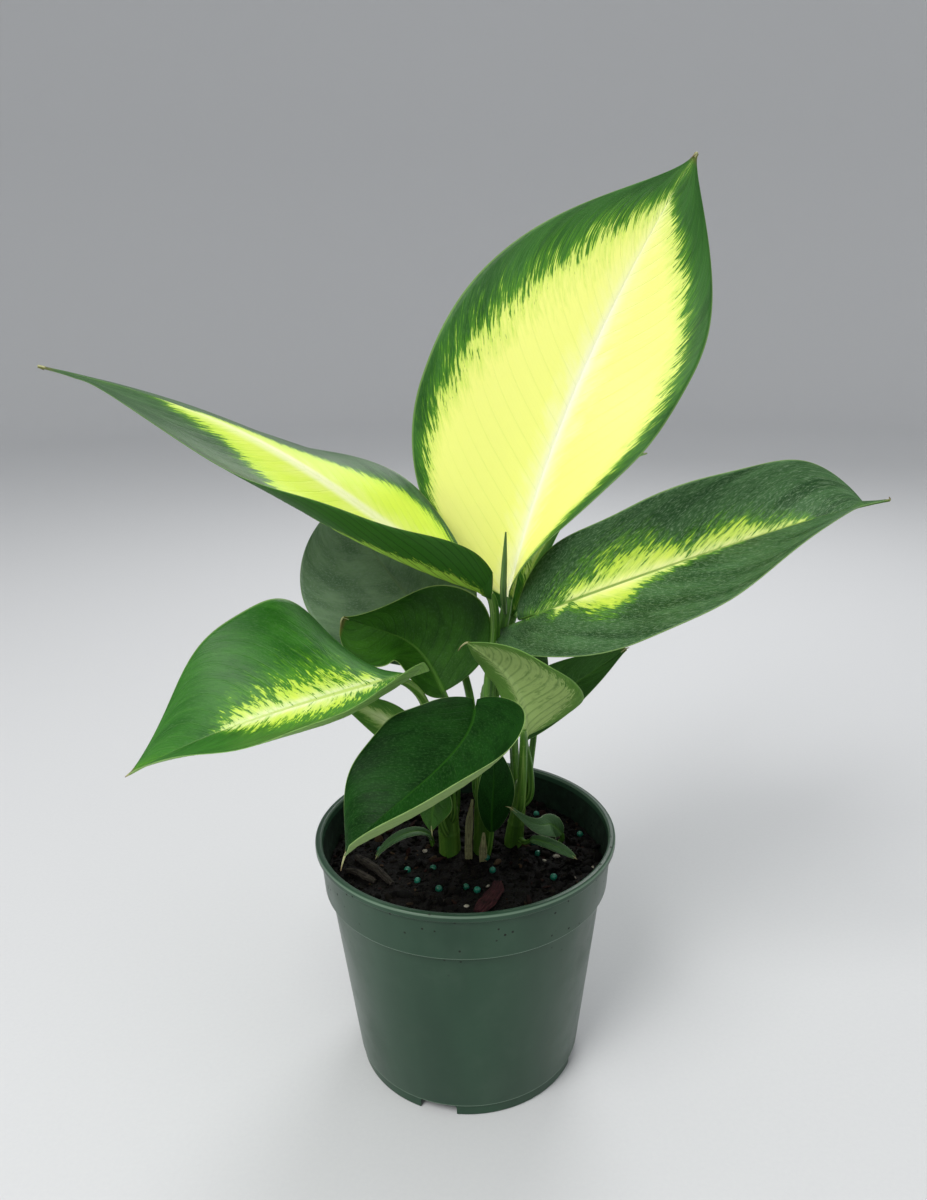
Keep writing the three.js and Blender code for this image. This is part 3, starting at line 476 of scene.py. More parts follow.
def tube(shape, points, radii, *, sides, steps, toward, section=None, kind=0):
    """Adds a closed tube. toward is where angle 0 of its section looks, and section(t, angle)
    scales the radius in two directions: away from the middle towards it, and across it."""
    path, along = smooth_path(points, steps + 1)
    t = np.linspace(0, 1, steps + 1)
    radius = np.interp(t * (len(radii) - 1), range(len(radii)), radii)
    first = unit(np.array(toward, float) - along * (along @ np.array(toward, float))[:, None])
    second = np.cross(along, first)
    angle = np.linspace(0, 2 * math.pi, sides, endpoint=False)
    grid_t, grid_angle = np.meshgrid(t, angle, indexing="ij")
    out = (np.cos(grid_angle), np.sin(grid_angle))
    if section:
        out = section(grid_t, grid_angle)
    rings = (
        path[:, None]
        + first[:, None] * (radius[:, None] * out[0])[..., None]
        + second[:, None] * (radius[:, None] * out[1])[..., None]
    )
    length = np.concatenate([[0], np.cumsum(np.linalg.norm(np.diff(path, axis=0), axis=1))])
    mirrored = np.minimum(grid_angle, 2 * math.pi - grid_angle)
    vein = np.stack([length[:, None] + 0 * grid_angle, mirrored * radius[:, None]], -1)
    blade = np.stack([grid_t, mirrored / math.pi], -1)
    ends = [[length[0], 0], [length[-1], 0]]
    shape.add(
        np.vstack([rings.reshape(-1, 3), path[0], path[-1]]), stacked_rings(steps + 1, sides), kind,
        vein=np.vstack([vein.reshape(-1, 2), ends]),
        blade=np.vstack([blade.reshape(-1, 2), [[0, 0], [1, 0]]]),
    )


def lump_template(subdivisions):
    """Points and faces of a ball of radius 1, for crumbs and prills."""
    ball = bmesh.new()
    bmesh.ops.create_icosphere(ball, subdivisions=subdivisions, radius=1)
    points = np.array([v.co[:] for v in ball.verts])
    faces = [[v.index for v in f.verts] for f in ball.faces]
    ball.free()
    return points, faces


# ---------------------------------------------------------------- leaves

def rib_frame(leaf, u):
    """The midrib's points at u, and the directions along it, to its right and out of its upper side."""
    a, b, c, d = (np.array(p, float) for p in leaf["rib"])
    t = np.atleast_1d(u)[:, None]
    point = a * (1 - t)**3 + 3 * b * t * (1 - t)**2 + 3 * c * t**2 * (1 - t) + d * t**3
    along = unit(3 * (b - a) * (1 - t)**2 + 6 * (c - b) * t * (1 - t) + 3 * (d - c) * t**2)
    flat = unit(np.cross(along, np.array(leaf["face"], float)))
    plumb = np.cross(flat, along)
    turn = np.radians(stations(leaf["twist"], t))
    right = flat * np.cos(turn) + plumb * np.sin(turn)
    up = plumb * np.cos(turn) - flat * np.sin(turn)
    return point, along, right, up


def rib_length(leaf):
    point = rib_frame(leaf, np.linspace(0, 1, 100))[0]
    return np.linalg.norm(np.diff(point, axis=0), axis=1).sum()


def outline(side, u, beak=0):
    """How much of its greatest width a half has at u. beak: the last share of the rib, where the
    blade is only a narrow point."""
    before = np.clip(1 - (1 - u / side["widest"])**2, 0, None)**side["foot"]
    beyond = np.clip((u - side["widest"]) / (1 - beak - side["widest"]), 0, 1)
    after = np.clip(1 - beyond**side["tip"][0], 0, None)**side["tip"][1]
    return np.where(u < side["widest"], before, after)


def half_blade(leaf, u, v):
    """Middle surface of one half: points, half width, and how many streak lengths inside the
    yellow each one is."""
    index = int(v[-1] > 0)
    side = leaf["right" if index else "left"]
    sign = 1 if index else -1
    point, along, right, up = (x[:, None] for x in rib_frame(leaf, u))
    s = np.abs(v)[None]
    u = u[:, None]
    beak = leaf.get("beak", 0)
    flare = np.clip((1 - u) / max(beak, 0.01), 0, 1)**2 * (u > 0.5) * (beak > 0)
    narrow = BLADE_END + BEAK_FLARE * flare
    shape = outline(side, u, beak)
    width = np.sqrt((side["width"] * shape)**2 + narrow**2)
    rise = np.radians(stations(side["rise"], u))
    tightest = width / BLADE_BEND
    curl = np.clip(np.radians(stations(side["curl"], u)) + 1e-6, -tightest, tightest)
    sideways = (np.sin(rise + curl * s) - np.sin(rise)) / curl
    upward = (np.cos(rise) - np.cos(rise + curl * s)) / curl
    back = side["lobe"] * np.maximum(1 - u / 0.3, 0)**2 * s**0.9
    height, count = leaf["wave"]
    wave = height * s**3 * np.sin(2 * math.pi * count * u + sign) * shape
    surface = (
        point
        + right * (width * sideways * sign)[..., None]
        + up * (width * upward + wave)[..., None]
        - along * back[..., None]
    )
    places, reach, streak = leaf["yellow"][index]
    inside = (np.interp(u, places, reach) - s) * np.maximum(width, 4) / np.interp(u, places, streak)
    return surface, width + 0 * s, inside


def leaf_skin(shape, leaf, seed):
    """The blade: a thin closed sheet with a swell between the side veins and a keel below."""
    rows, columns = leaf["grid"]
    even = np.linspace(0, 1, rows + 1)
    u = EVEN_ROWS * even + (1 - EVEN_ROWS) * (0.5 - 0.5 * np.cos(math.pi * even))
    across = np.linspace(0, 1, columns + 1)**CROWD_TO_RIB
    left, left_width, left_inside = half_blade(leaf, u, -across[::-1])
    right, right_width, right_inside = half_blade(leaf, u, across)
    middle = np.concatenate([left, right[:, 1:]], 1)
    width = np.concatenate([left_width, right_width[:, 1:]], 1)
    inside = np.concatenate([left_inside, right_inside[:, 1:]], 1)
    v = np.concatenate([-across[::-1], across[1:]])[None]
    s = np.abs(v)
    u = u[:, None] + 0 * v
    length = rib_length(leaf)
    lean = leaf["sweep"] * (0.85 * s + 0.45 * s**4)
    vein = (u - lean) * length + 0.4 * leaf["veins"] * np.sign(v) + 40
    out = unit(np.cross(np.gradient(middle, axis=1), np.gradient(middle, axis=0)))
    size = np.minimum(width / 20, 1)
    phase = 2 * math.pi * vein / leaf["veins"]
    swell = VEIN_RELIEF * size * np.abs(np.sin(phase / 2))**0.6 * s**0.5 * (1 - s**6)
    broad = 0.35 * size * np.sin(0.11 * vein + seed) * np.cos(0.09 * s * width + 0.05 * vein + seed)
    middle = middle + out * (swell + broad * s)[..., None]
    thin = BLADE_THICKNESS / 2 * (1 - EDGE_THINNING * s**8)
    ridge = np.maximum(leaf["radii"][1] * (1 - u), 0.2)
    from_rib = s * width / (1.25 * ridge)
    keel = ridge * np.sqrt(np.clip(1 - from_rib**2, 0, 1))
    groove = 0.25 * ridge * np.exp(-(s * width / (0.7 * ridge))**2)
    upper = middle + out * (thin - groove)[..., None]
    lower = middle - out * (thin + keel)[..., None]
    shape.add(
        [upper, lower], closed_grid(*upper.shape[:2]),
        vein=[np.stack([vein, v * width], -1)] * 2,
        blade=[np.stack([u, s + 0 * u], -1)] * 2,
        zone=[np.stack([inside, 0 * inside + under], -1) for under in (0, 1)],
    )


def channelled(depth, wing):
    """Section of a petiole: a groove along its upper side, between two low wings near its foot."""
    def section(t, angle):
        turned = np.abs((angle + math.pi) % (2 * math.pi) - math.pi)
        groove = 1 - depth * np.exp(-(turned / 0.45)**2)
        wings = 1 + wing * (1 - t)**1.5 * np.exp(-((turned - 0.9) / 0.3)**2)
        size = groove * wings
        return size * np.cos(angle), size * np.sin(angle)
    return section


def petiole_foot(start):
    """Where a petiole's foot runs out: lower down, inside the cane it stands against, if any."""
    x, y, z = start
    low = z - FOOT_DROP
    middles = []
    for points, _ in CANES.values():
        xs, ys, heights = zip(*points)
        middles.append((float(np.interp(low, heights, xs)), float(np.interp(low, heights, ys))))
    nearest = min(middles, key=lambda p: math.hypot(p[0] - x, p[1] - y))
    if math.hypot(nearest[0] - x, nearest[1] - y) > FOOT_REACH:
        return (x, y, low)
    return (*nearest, low)


def petiole_skin(shape, leaf):
    at_cane, at_blade = leaf["radii"]
    point, _, _, up = rib_frame(leaf, np.array([0, STALK_END / rib_length(leaf)]))
    under = point - np.array([[0.9], [1.1]]) * at_blade * up
    points = [*leaf["stalk"], *under]
    radii = list(np.linspace(at_cane, at_blade, len(points)))
    radii[-1] *= 0.7
    points.insert(0, petiole_foot(points[0]))
    radii.insert(0, 0.7 * at_cane)
    tube(
        shape, points, radii, sides=28, steps=14 * (len(points) - 1), toward=up[0],
        section=channelled(0.28, 0.22), kind=1,
    )


def hook_skin(shape, leaf):
    """The pale hair that a leaf's tip ends in: it leaves the midrib and bends off it."""
    point, along, _, up = rib_frame(leaf, np.array([1 - HOOK_ROOT / rib_length(leaf), 1.0]))
    bend = np.array(leaf["hook"], float)
    halfway = point[1] + 0.45 * bend + 0.12 * np.linalg.norm(bend) * along[1]
    points = [point[0], point[1], halfway, point[1] + bend]
    radii = [HOOK_SHARE * leaf["radii"][1] * share for share in (1, 1.05, 0.7, 0.25)]
    tube(shape, points, radii, sides=12, steps=18, toward=up[0], kind=2)


def leaf_piece(name, leaf, materials, seed):
    shape = Shape()
    leaf_skin(shape, leaf, seed)
    petiole_skin(shape, leaf)
    hook_skin(shape, leaf)
    put(shape.build(name + "_blade", materials), name)


# ---------------------------------------------------------------- canes, sheaths and the rolled leaf

def cane_section(seed):
    """A smooth stem with a low ring where each old leaf grew, and very shallow ribs."""
    def section(t, angle):
        ring = np.exp(-((np.abs((t * 5 + seed) % 1 - 0.5)) / 0.035)**2)
        size = 1 + 0.06 * ring + 0.025 * np.sin(3 * angle + 2 * t + seed)
        size *= np.sqrt(np.clip(1 - np.clip((t - CANE_DOME) / (1 - CANE_DOME), 0, 1)**2, 0.01, 1))
        return size * np.cos(angle), size * np.sin(angle)
    return section


def cane_piece(name, points, radii, material, seed):
    shape = Shape()
    tube(shape, points, radii, sides=56, steps=110, toward=(0, -1, 0), section=cane_section(seed))
    put(shape.build(name + "_stem", [material]), name)


def sheath_piece(name, points, material, seed):
    """A dry strip: flat, rolled in at its sides and wrinkled along its length."""
    def section(t, angle):
        wrinkle = 0.1 * np.sin(9 * angle + seed) + 0.07 * np.sin(23 * angle + 6 * t + seed)
        across = np.sin(angle) * (SHEATH_SHARE + 0.06 * np.sin(13 * t + seed))
        cup = 0.35 * (np.sin(angle)**2 - 0.5)
        return SHEATH_FLAT * (np.cos(angle) + wrinkle) + cup * 0.6, across
    shape = Shape()
    tube(shape, points, SHEATH_RADII, sides=64, steps=70, toward=(0, -1, 0), section=section)
    put(shape.build(name + "_paper", [material]), name)


def rolled_leaf_piece(material):
    """The newest leaf, rolled up: a spear whose edge shows as a step that winds round it."""
    def section(t, angle):
        turn = (angle / (2 * math.pi) + 0.8 * t) % 1
        size = 0.86 + 0.2 * turn
        return size * np.cos(angle), size * np.sin(angle)
    shape = Shape()
    tube(shape, ROLLED_LEAF, ROLLED_RADII, sides=48, steps=80, toward=(0, -1, 0), section=section)
    put(shape.build("rolled_leaf_spear", [material], sharp=50), "rolled_leaf")


# ---------------------------------------------------------------- pot

def rounded(corners):
    """Outline through (r, z, rounding) corners, with an arc in place of each rounded one."""
    points = []
    for i, (r, z, radius) in enumerate(corners):
        here = np.array((r, z), float)
        if radius == 0:
            points.append(here)
            continue
        before = unit(np.array(corners[i - 1][:2], float) - here)
        after = unit(np.array(corners[i + 1][:2], float) - here)
        opening = math.acos(float(np.clip(before @ after, -1, 1)))
        reach = radius / math.tan(opening / 2)
        centre = here + unit(before + after) * radius / math.sin(opening / 2)
        start, stop = here + before * reach - centre, here + after * reach - centre
        for t in np.linspace(0, 1, 7):
            blend = unit((1 - t) * start + t * stop) * radius
            points.append(centre + blend)
    return points


POT_INNER_POINTS = 28      # points of the outline, from its end back to the lip's inner edge


def turned_pot():
    """The pot as a turned skin. Its zone map says what is inside (1), and how high it is."""
    p = POT
    inside = p["body_foot"] - p["foot_ring"]
    lip_foot = p["height"] - p["lip_depth"]
    lip_inside = p["lip_radius"] - p["lip_width"]
    profile = rounded([
        (0, p["foot_height"], 0),
        (inside, p["foot_height"], 0.5),
        (inside, 0, 0.4),
        (p["body_foot"] - 0.8, 0, 0.6),
        (p["body_foot"] - 0.7, p["foot_height"], 0.2),
        (p["body_foot"] + 0.05, p["foot_height"], 0.25),
        (p["body_top"], p["collar_foot_z"], 0.5),
        (p["collar_foot"], p["collar_foot_z"], 0.45),
        (p["collar_top"], lip_foot, 0.4),
        (p["lip_radius"], lip_foot + 0.2, 0.5),
        (p["lip_radius"], p["height"], 0.95),
        (lip_inside, p["height"], 0.8),
        (p["collar_top"] - p["wall"], lip_foot, 0.5),
        (p["collar_foot"] - p["wall"], p["collar_foot_z"] + p["wall"], 0.6),
        (p["body_top"] - p["wall"], p["collar_foot_z"] - p["wall"], 0.6),
        (p["body_foot"] - p["wall"], p["foot_height"] + p["floor"], 0.8),
        (0, p["foot_height"] + p["floor"], 0),
    ])
    sides = p["segments"]
    angles = [2 * math.pi * k / sides for k in range(sides)]
    turned = profile[1:-1]
    points = [(r * math.cos(a), r * math.sin(a), z) for r, z in turned for a in angles]
    points += [(0, 0, profile[0][1]), (0, 0, profile[-1][1])]
    inner = [float(i > len(turned) - POT_INNER_POINTS) for i in range(len(turned)) for _ in angles]
    zone = np.stack([[*inner, 0, 1], [z for _, _, z in points]], 1)
    shape = Shape()
    shape.add(points, stacked_rings(len(turned), sides), zone=zone)
    return shape


def cutter(points):
    """A prism from points that go once round its low end and once round its high end."""
    sides = len(points) // 2
    faces = [(k, (k + 1) % sides, sides + (k + 1) % sides, sides + k) for k in range(sides)]
    faces += [tuple(reversed(range(sides))), tuple(range(sides, 2 * sides))]
    shape = Shape()
    shape.add(points, faces)
    return shape.build("cutter", [])


def notch_cutter(angle):
    """A block with rounded upper corners that cuts one drain gap through the foot ring."""
    p = POT
    reach = 2 * p["foot_ring"]
    corner = 1.2
    width, height = p["notch_width"] / 2, p["notch_height"]
    arc = [(width - corner + corner * math.cos(a), height - corner + corner * math.sin(a))
           for a in np.linspace(0, math.pi / 2, 6)]
    outline_points = [(width, -height), *arc, *[(-y, z) for y, z in reversed(arc)], (-width, -height)]
    turn = Matrix.Rotation(angle, 3, "Z")
    ends = (p["body_foot"] - reach, p["body_foot"] + reach)
    return cutter([tuple(turn @ Vector((x, y, z))) for x in ends for y, z in outline_points])


def hole_cutter(angle):
    p = POT
    sides = 48
    x, y = p["drain_circle"] * math.cos(angle), p["drain_circle"] * math.sin(angle)
    ring = [(x + p["drain_hole"] * math.cos(a), y + p["drain_hole"] * math.sin(a))
            for a in np.linspace(0, 2 * math.pi, sides, endpoint=False)]
    heights = (p["foot_height"] - 2, p["foot_height"] + p["floor"] + 2)
    return cutter([(q, r, z) for z in heights for q, r in ring])


def pot_piece(material):
    thing = turned_pot().build("pot_shell", [material])
    cutters = []
    for i in range(POT["notches"]):
        angle = math.radians(POT["notch_angle"] + 360 * i / POT["notches"])
        cutters += [notch_cutter(angle), hole_cutter(angle)]
    for tool in cutters:
        cut = thing.modifiers.new("cut", "BOOLEAN")
        cut.operation = "DIFFERENCE"
        cut.solver = "EXACT"
        cut.object = tool
    bpy.context.view_layer.update()
    made = bpy.data.meshes.new_from_object(thing.evaluated_get(bpy.context.evaluated_depsgraph_get()))
    thing.modifiers.clear()
    thing.data = made
    made.set_sharp_from_angle(angle=math.radians(38))
    for tool in cutters:
        bpy.data.objects.remove(tool)
    put(thing, "pot")


# ---------------------------------------------------------------- soil and what lies on it

def clear_of_bark(x, y):
    """0 where a piece of bark lies, 1 a little way off."""
    nearest = 100 + 0 * x
    for piece in BARK.values():
        (ax, ay), (bx, by) = piece["ends"]
        dx, dy = bx - ax, by - ay
        t = np.clip(((x - ax) * dx + (y - ay) * dy) / (dx * dx + dy * dy), 0, 1)
        nearest = np.minimum(nearest, np.hypot(x - ax - t * dx, y - ay - t * dy) - piece["width"])
    return smoothstep(nearest, 3, 7)


def soil_height(x, y):
    lumps = (
        np.sin(0.31 * x + 1.3) * np.cos(0.27 * y - 0.4)
        + 0.6 * np.sin(0.55 * x - 0.43 * y + 2.1)
        + 0.4 * np.cos(0.71 * y + 0.2 * x)
    )
    mound = 0
    for points, _ in CANES.values():
        off = (x - points[1][0])**2 + (y - points[1][1])**2
        mound = mound + MOUND["height"] * np.exp(-off / MOUND["reach"]**2)
    edge = np.hypot(x, y) / POT["collar_foot"]
    rough = (SOIL["lumps"] * lumps + mound) * clear_of_bark(x, y)
    return SOIL["level"] + rough - SOIL["edge_dip"] * edge**6


def soil_piece(material):
    p = POT
    bottom = p["foot_height"] + p["floor"] + GAP
    mouth = p["collar_foot"] - p["wall"] - GAP
    sides = SOIL["segments"]
    angle = np.linspace(0, 2 * math.pi, sides, endpoint=False)
    rings = [
        (p["body_foot"] - p["wall"] - GAP, bottom),
        (p["body_top"] - p["wall"] - GAP, p["collar_foot_z"] - p["wall"]),
        (mouth, p["collar_foot_z"] + p["wall"]),
    ]
    radius = [r for r, _ in rings] + [mouth * i / SOIL["rings"] for i in range(SOIL["rings"], 0, -1)]
    points = []
    for i, r in enumerate(radius):
        x, y = r * np.cos(angle), r * np.sin(angle)
        if i < len(rings):
            z = np.full(sides, rings[i][1])
        else:
            rough = [
                0.55 * noise.fractal(Vector((q * 0.35, w * 0.35, 0)), 0.7, 2.1, 5) for q, w in zip(x, y)
            ]
            z = soil_height(x, y) + np.array(rough)
        points.append(np.stack([x, y, z], 1))
    centre_top = [0, 0, float(soil_height(0.0, 0.0))]
    shape = Shape()
    points = np.vstack([np.concatenate(points), [0, 0, bottom], centre_top])
    shape.add(points, stacked_rings(len(radius), sides))
    put(shape.build("soil_ball", [material]), "soil")


def random_turn(draw):
    axis = Vector((draw.gauss(0, 1), draw.gauss(0, 1), draw.gauss(0, 1))).normalized()
    return np.array(Matrix.Rotation(draw.uniform(0, 2 * math.pi), 3, axis))


def lump(shape, template, place, sizes, draw, rough, shade):
    """Adds one irregular lump: a ball pushed in and out at random, stretched and turned."""
    points, faces = template
    push = np.array([1 + rough * draw.uniform(-1, 1) for _ in points])[:, None]
    turned = (points * push * np.array(sizes)) @ random_turn(draw).T
    pairs = np.tile([[shade, draw.random()]], (len(points), 1))
    shape.add(turned + np.array(place), faces, blade=pairs)


def off_canes(x, y):
    feet = [(points[1][:2], radii[1]) for points, radii in CANES.values()]
    return all(math.hypot(x - foot[0], y - foot[1]) > radius + 0.5 for foot, radius in feet)


def crumbs_piece(material):
    """Crumbs of peat and bark over the soil, from dust to bits a few millimetres long."""
    draw = random.Random(7)
    fine, coarse = lump_template(1), lump_template(2)
    shape = Shape()
    rim = POT["collar_foot"] - POT["wall"] - 1
    for _ in range(SOIL["crumbs"]):
        angle, radius = draw.uniform(0, 2 * math.pi), rim * math.sqrt(draw.random())
        x, y = radius * math.cos(angle), radius * math.sin(angle)
        if not off_canes(x, y):
            continue
        size = min(0.35 * math.exp(abs(draw.gauss(0, 0.75))), 1.9)
        if clear_of_bark(np.array(x), np.array(y)) < 0.5:
            size = min(size, 0.5)
        sizes = [size * draw.uniform(low, high) for low, high in ((1, 1.9), (0.7, 1.1), (0.35, 0.8))]
        z = float(soil_height(x, y)) + 0.25 * size
        lump(shape, coarse if size > 0.9 else fine, (x, y, z), sizes, draw, 0.22, draw.random())
    put(shape.build("soil_crumbs", [material], sharp=50), "soil")


def white_bits_piece(material):
    draw = random.Random(13)
    template = lump_template(3)
    shape = Shape()
    for x, y in WHITE_BITS:
        size = draw.uniform(0.45, 1)
        z = float(soil_height(x, y)) + 0.6 * size
        lump(shape, template, (x, y, z), (size * 1.5, size, size * 0.7), draw, 0.16, draw.random())
    put(shape.build("soil_white_bits", [material]), "soil")


def drawn_numbers(seed):
    """The part's own seeded random numbers, so that the prills lie where the solid has them."""
    state = seed
    while True:
        state = (state * 1664525 + 1013904223) % 4294967296
        yield state / 4294967296


def prill_places():
    numbers = drawn_numbers(21)
    places = list(PRILLS_IN_FRONT)
    while len(places) < len(PRILLS_IN_FRONT) + PRILL["drawn"]:
        angle = 2 * math.pi * next(numbers)
        radius = PRILL["spread"] * math.sqrt(next(numbers))
        x, y = radius * math.cos(angle), radius * math.sin(angle)
        apart = all(math.hypot(p[0] - x, p[1] - y) > PRILL["spacing"] for p in places)
        clear = all(math.hypot(x - q, y - r) > reach for (q, r), reach in PRILL_FREE)
        if apart and clear and clear_of_bark(np.array(x), np.array(y)) > 0.9:
            places.append((x, y))
    return places


def prills_piece(material):
    draw = random.Random(29)
    template = lump_template(4)
    shape = Shape()
    for x, y in prill_places():
        z = float(soil_height(x, y)) + PRILL["radius"] - PRILL["sunk"]
        size = PRILL["radius"] * draw.uniform(0.9, 1)
        lump(shape, template, (x, y, z), (size, size, size * 0.93), draw, 0.006, draw.random())
    put(shape.build("soil_prills", [material]), "soil")


def bark_piece(name, material, *, ends, width, height, seed, slot):
    """A weathered splinter: ridged along its length, broken off at both ends."""
    numbers = drawn_numbers(seed)
    sizes = (0.7, 1, 0.95, 0.6)
    points = []
    for i, size in enumerate(sizes):
        t = i / (len(sizes) - 1)
        x = ends[0][0] * (1 - t) + ends[1][0] * t + (next(numbers) - 0.5) * width
        y = ends[0][1] * (1 - t) + ends[1][1] * t + (next(numbers) - 0.5) * width
        points.append((x, y, float(soil_height(x, y)) + GAP + height * size))

    def section(t, angle):
        size = np.empty_like(t)
        for index in np.ndindex(t.shape):
            turn = angle[index]
            size[index] = 0.86
            for share, around, along in ((0.3, 2.6, 1.3), (0.16, 9, 5)):
                place = (around * math.cos(turn), around * math.sin(turn), along * t[index] + seed)
                size[index] += share * noise.noise(Vector(place))
        broken = smoothstep(np.abs(t - 0.5), 0.42, 0.5)
        size *= 1 - 0.35 * broken * (0.5 + 0.5 * np.sin(7 * angle + seed))
        return size * np.cos(angle) * height / width, size * np.sin(angle)

    shape = Shape()
    radii = [size * width for size in sizes]
    tube(shape, points, radii, sides=44, steps=90, toward=(0, 0, 1), section=section)
    put(shape.build(name + "_wood", [material], sharp=60), name)


# ---------------------------------------------------------------- materials

def colour(red, green, blue):
    """A colour given as 0 to 255 on the screen, as the shader takes it."""
    def linear(c):
        c /= 255
        return c / 12.92 if c <= 0.04045 else ((c + 0.055) / 1.055)**2.4
    return (linear(red), linear(green), linear(blue), 1)


class Graph:
    """Builds one material's nodes. Each method returns the socket that carries its result."""

    def __init__(self, name):
        self.material = bpy.data.materials.new(name)
        self.material.use_nodes = True
        self.tree = self.material.node_tree
        self.shader = self.tree.nodes["Principled BSDF"]

    def feed(self, socket, value):
        if isinstance(value, bpy.types.NodeSocket):
            self.tree.links.new(value, socket)
        else:
            socket.default_value = value

    def set(self, **values):
        for name, value in values.items():
            self.feed(self.shader.inputs[name.replace("_", " ").title().replace("Ior", "IOR")], value)

    def math(self, operation, *values, clamp=False):
        node = self.tree.nodes.new("ShaderNodeMath")
        node.operation = operation
        node.use_clamp = clamp
        for socket, value in zip(node.inputs, values):
            self.feed(socket, value)
        return node.outputs[0]

    def times(self, a, b):
        return self.math("MULTIPLY", a, b)

    def plus(self, a, b, clamp=False):
        return self.math("ADD", a, b, clamp=clamp)

    def minus(self, a, b):
        return self.math("SUBTRACT", a, b)

    def smooth(self, value, low, high, start=0.0, stop=1.0):
        node = self.tree.nodes.new("ShaderNodeMapRange")
        node.interpolation_type = "SMOOTHSTEP"
        for socket, given in zip(node.inputs, (value, low, high, start, stop)):
            self.feed(socket, given)
        return node.outputs[0]

    def mix(self, factor, a, b):
        """Blends two colours, each a socket or a colour as colour() takes it."""
        node = self.tree.nodes.new("ShaderNodeMix")
        node.data_type = "RGBA"
        self.feed(node.inputs["Factor"], factor)
        for socket, value in ((node.inputs[6], a), (node.inputs[7], b)):
            self.feed(socket, colour(*value) if isinstance(value, tuple) else value)
        return node.outputs[2]

    def split(self, vector):
        node = self.tree.nodes.new("ShaderNodeSeparateXYZ")
        self.feed(node.inputs[0], vector)
        return node.outputs[0], node.outputs[1], node.outputs[2]

    def join(self, x, y, z=0.0):
        node = self.tree.nodes.new("ShaderNodeCombineXYZ")
        for socket, value in zip(node.inputs, (x, y, z)):
            self.feed(socket, value)
        return node.outputs[0]

    def pair(self, name):
        """The two numbers that a UV map holds."""
        node = self.tree.nodes.new("ShaderNodeUVMap")
        node.uv_map = name
        return self.split(node.outputs[0])[:2]

    def place(self):
        """Where the surface is, in millimetres from the pot's axis and foot."""
        node = self.tree.nodes.new("ShaderNodeTexCoord")
        scale = self.tree.nodes.new("ShaderNodeVectorMath")
        scale.operation = "SCALE"
        self.feed(scale.inputs[0], node.outputs["Object"])
        scale.inputs["Scale"].default_value = 1 / MM
        return scale.outputs[0]

    def noise(self, vector, scale=1.0, detail=2.0, roughness=0.5):
        node = self.tree.nodes.new("ShaderNodeTexNoise")
        self.feed(node.inputs["Vector"], vector)
        node.inputs["Scale"].default_value = scale
        node.inputs["Detail"].default_value = detail
        node.inputs["Roughness"].default_value = roughness
        return node.outputs[0]

    def drawn_out(self, a, b, scales, shift, detail=2.0, roughness=0.5):
        """Noise over two numbers, each with its own scale. Another shift gives another draw."""
        place = self.join(self.times(a, scales[0]), self.times(b, scales[1]), shift)
        return self.noise(place, 1, detail, roughness)

    def cells(self, vector, scale=1.0):
        node = self.tree.nodes.new("ShaderNodeTexVoronoi")
        self.feed(node.inputs["Vector"], vector)
        node.inputs["Scale"].default_value = scale
        return node.outputs["Distance"]

    def bump(self, height, distance, strength=1.0, after=None):
        """Bump whose height, 0 to 1, stands for the distance, in millimetres."""
        node = self.tree.nodes.new("ShaderNodeBump")
        node.inputs["Strength"].default_value = strength
        node.inputs["Distance"].default_value = distance * MM
        self.feed(node.inputs["Height"], height)
        if after is not None:
            self.feed(node.inputs["Normal"], after)
        return node.outputs[0]


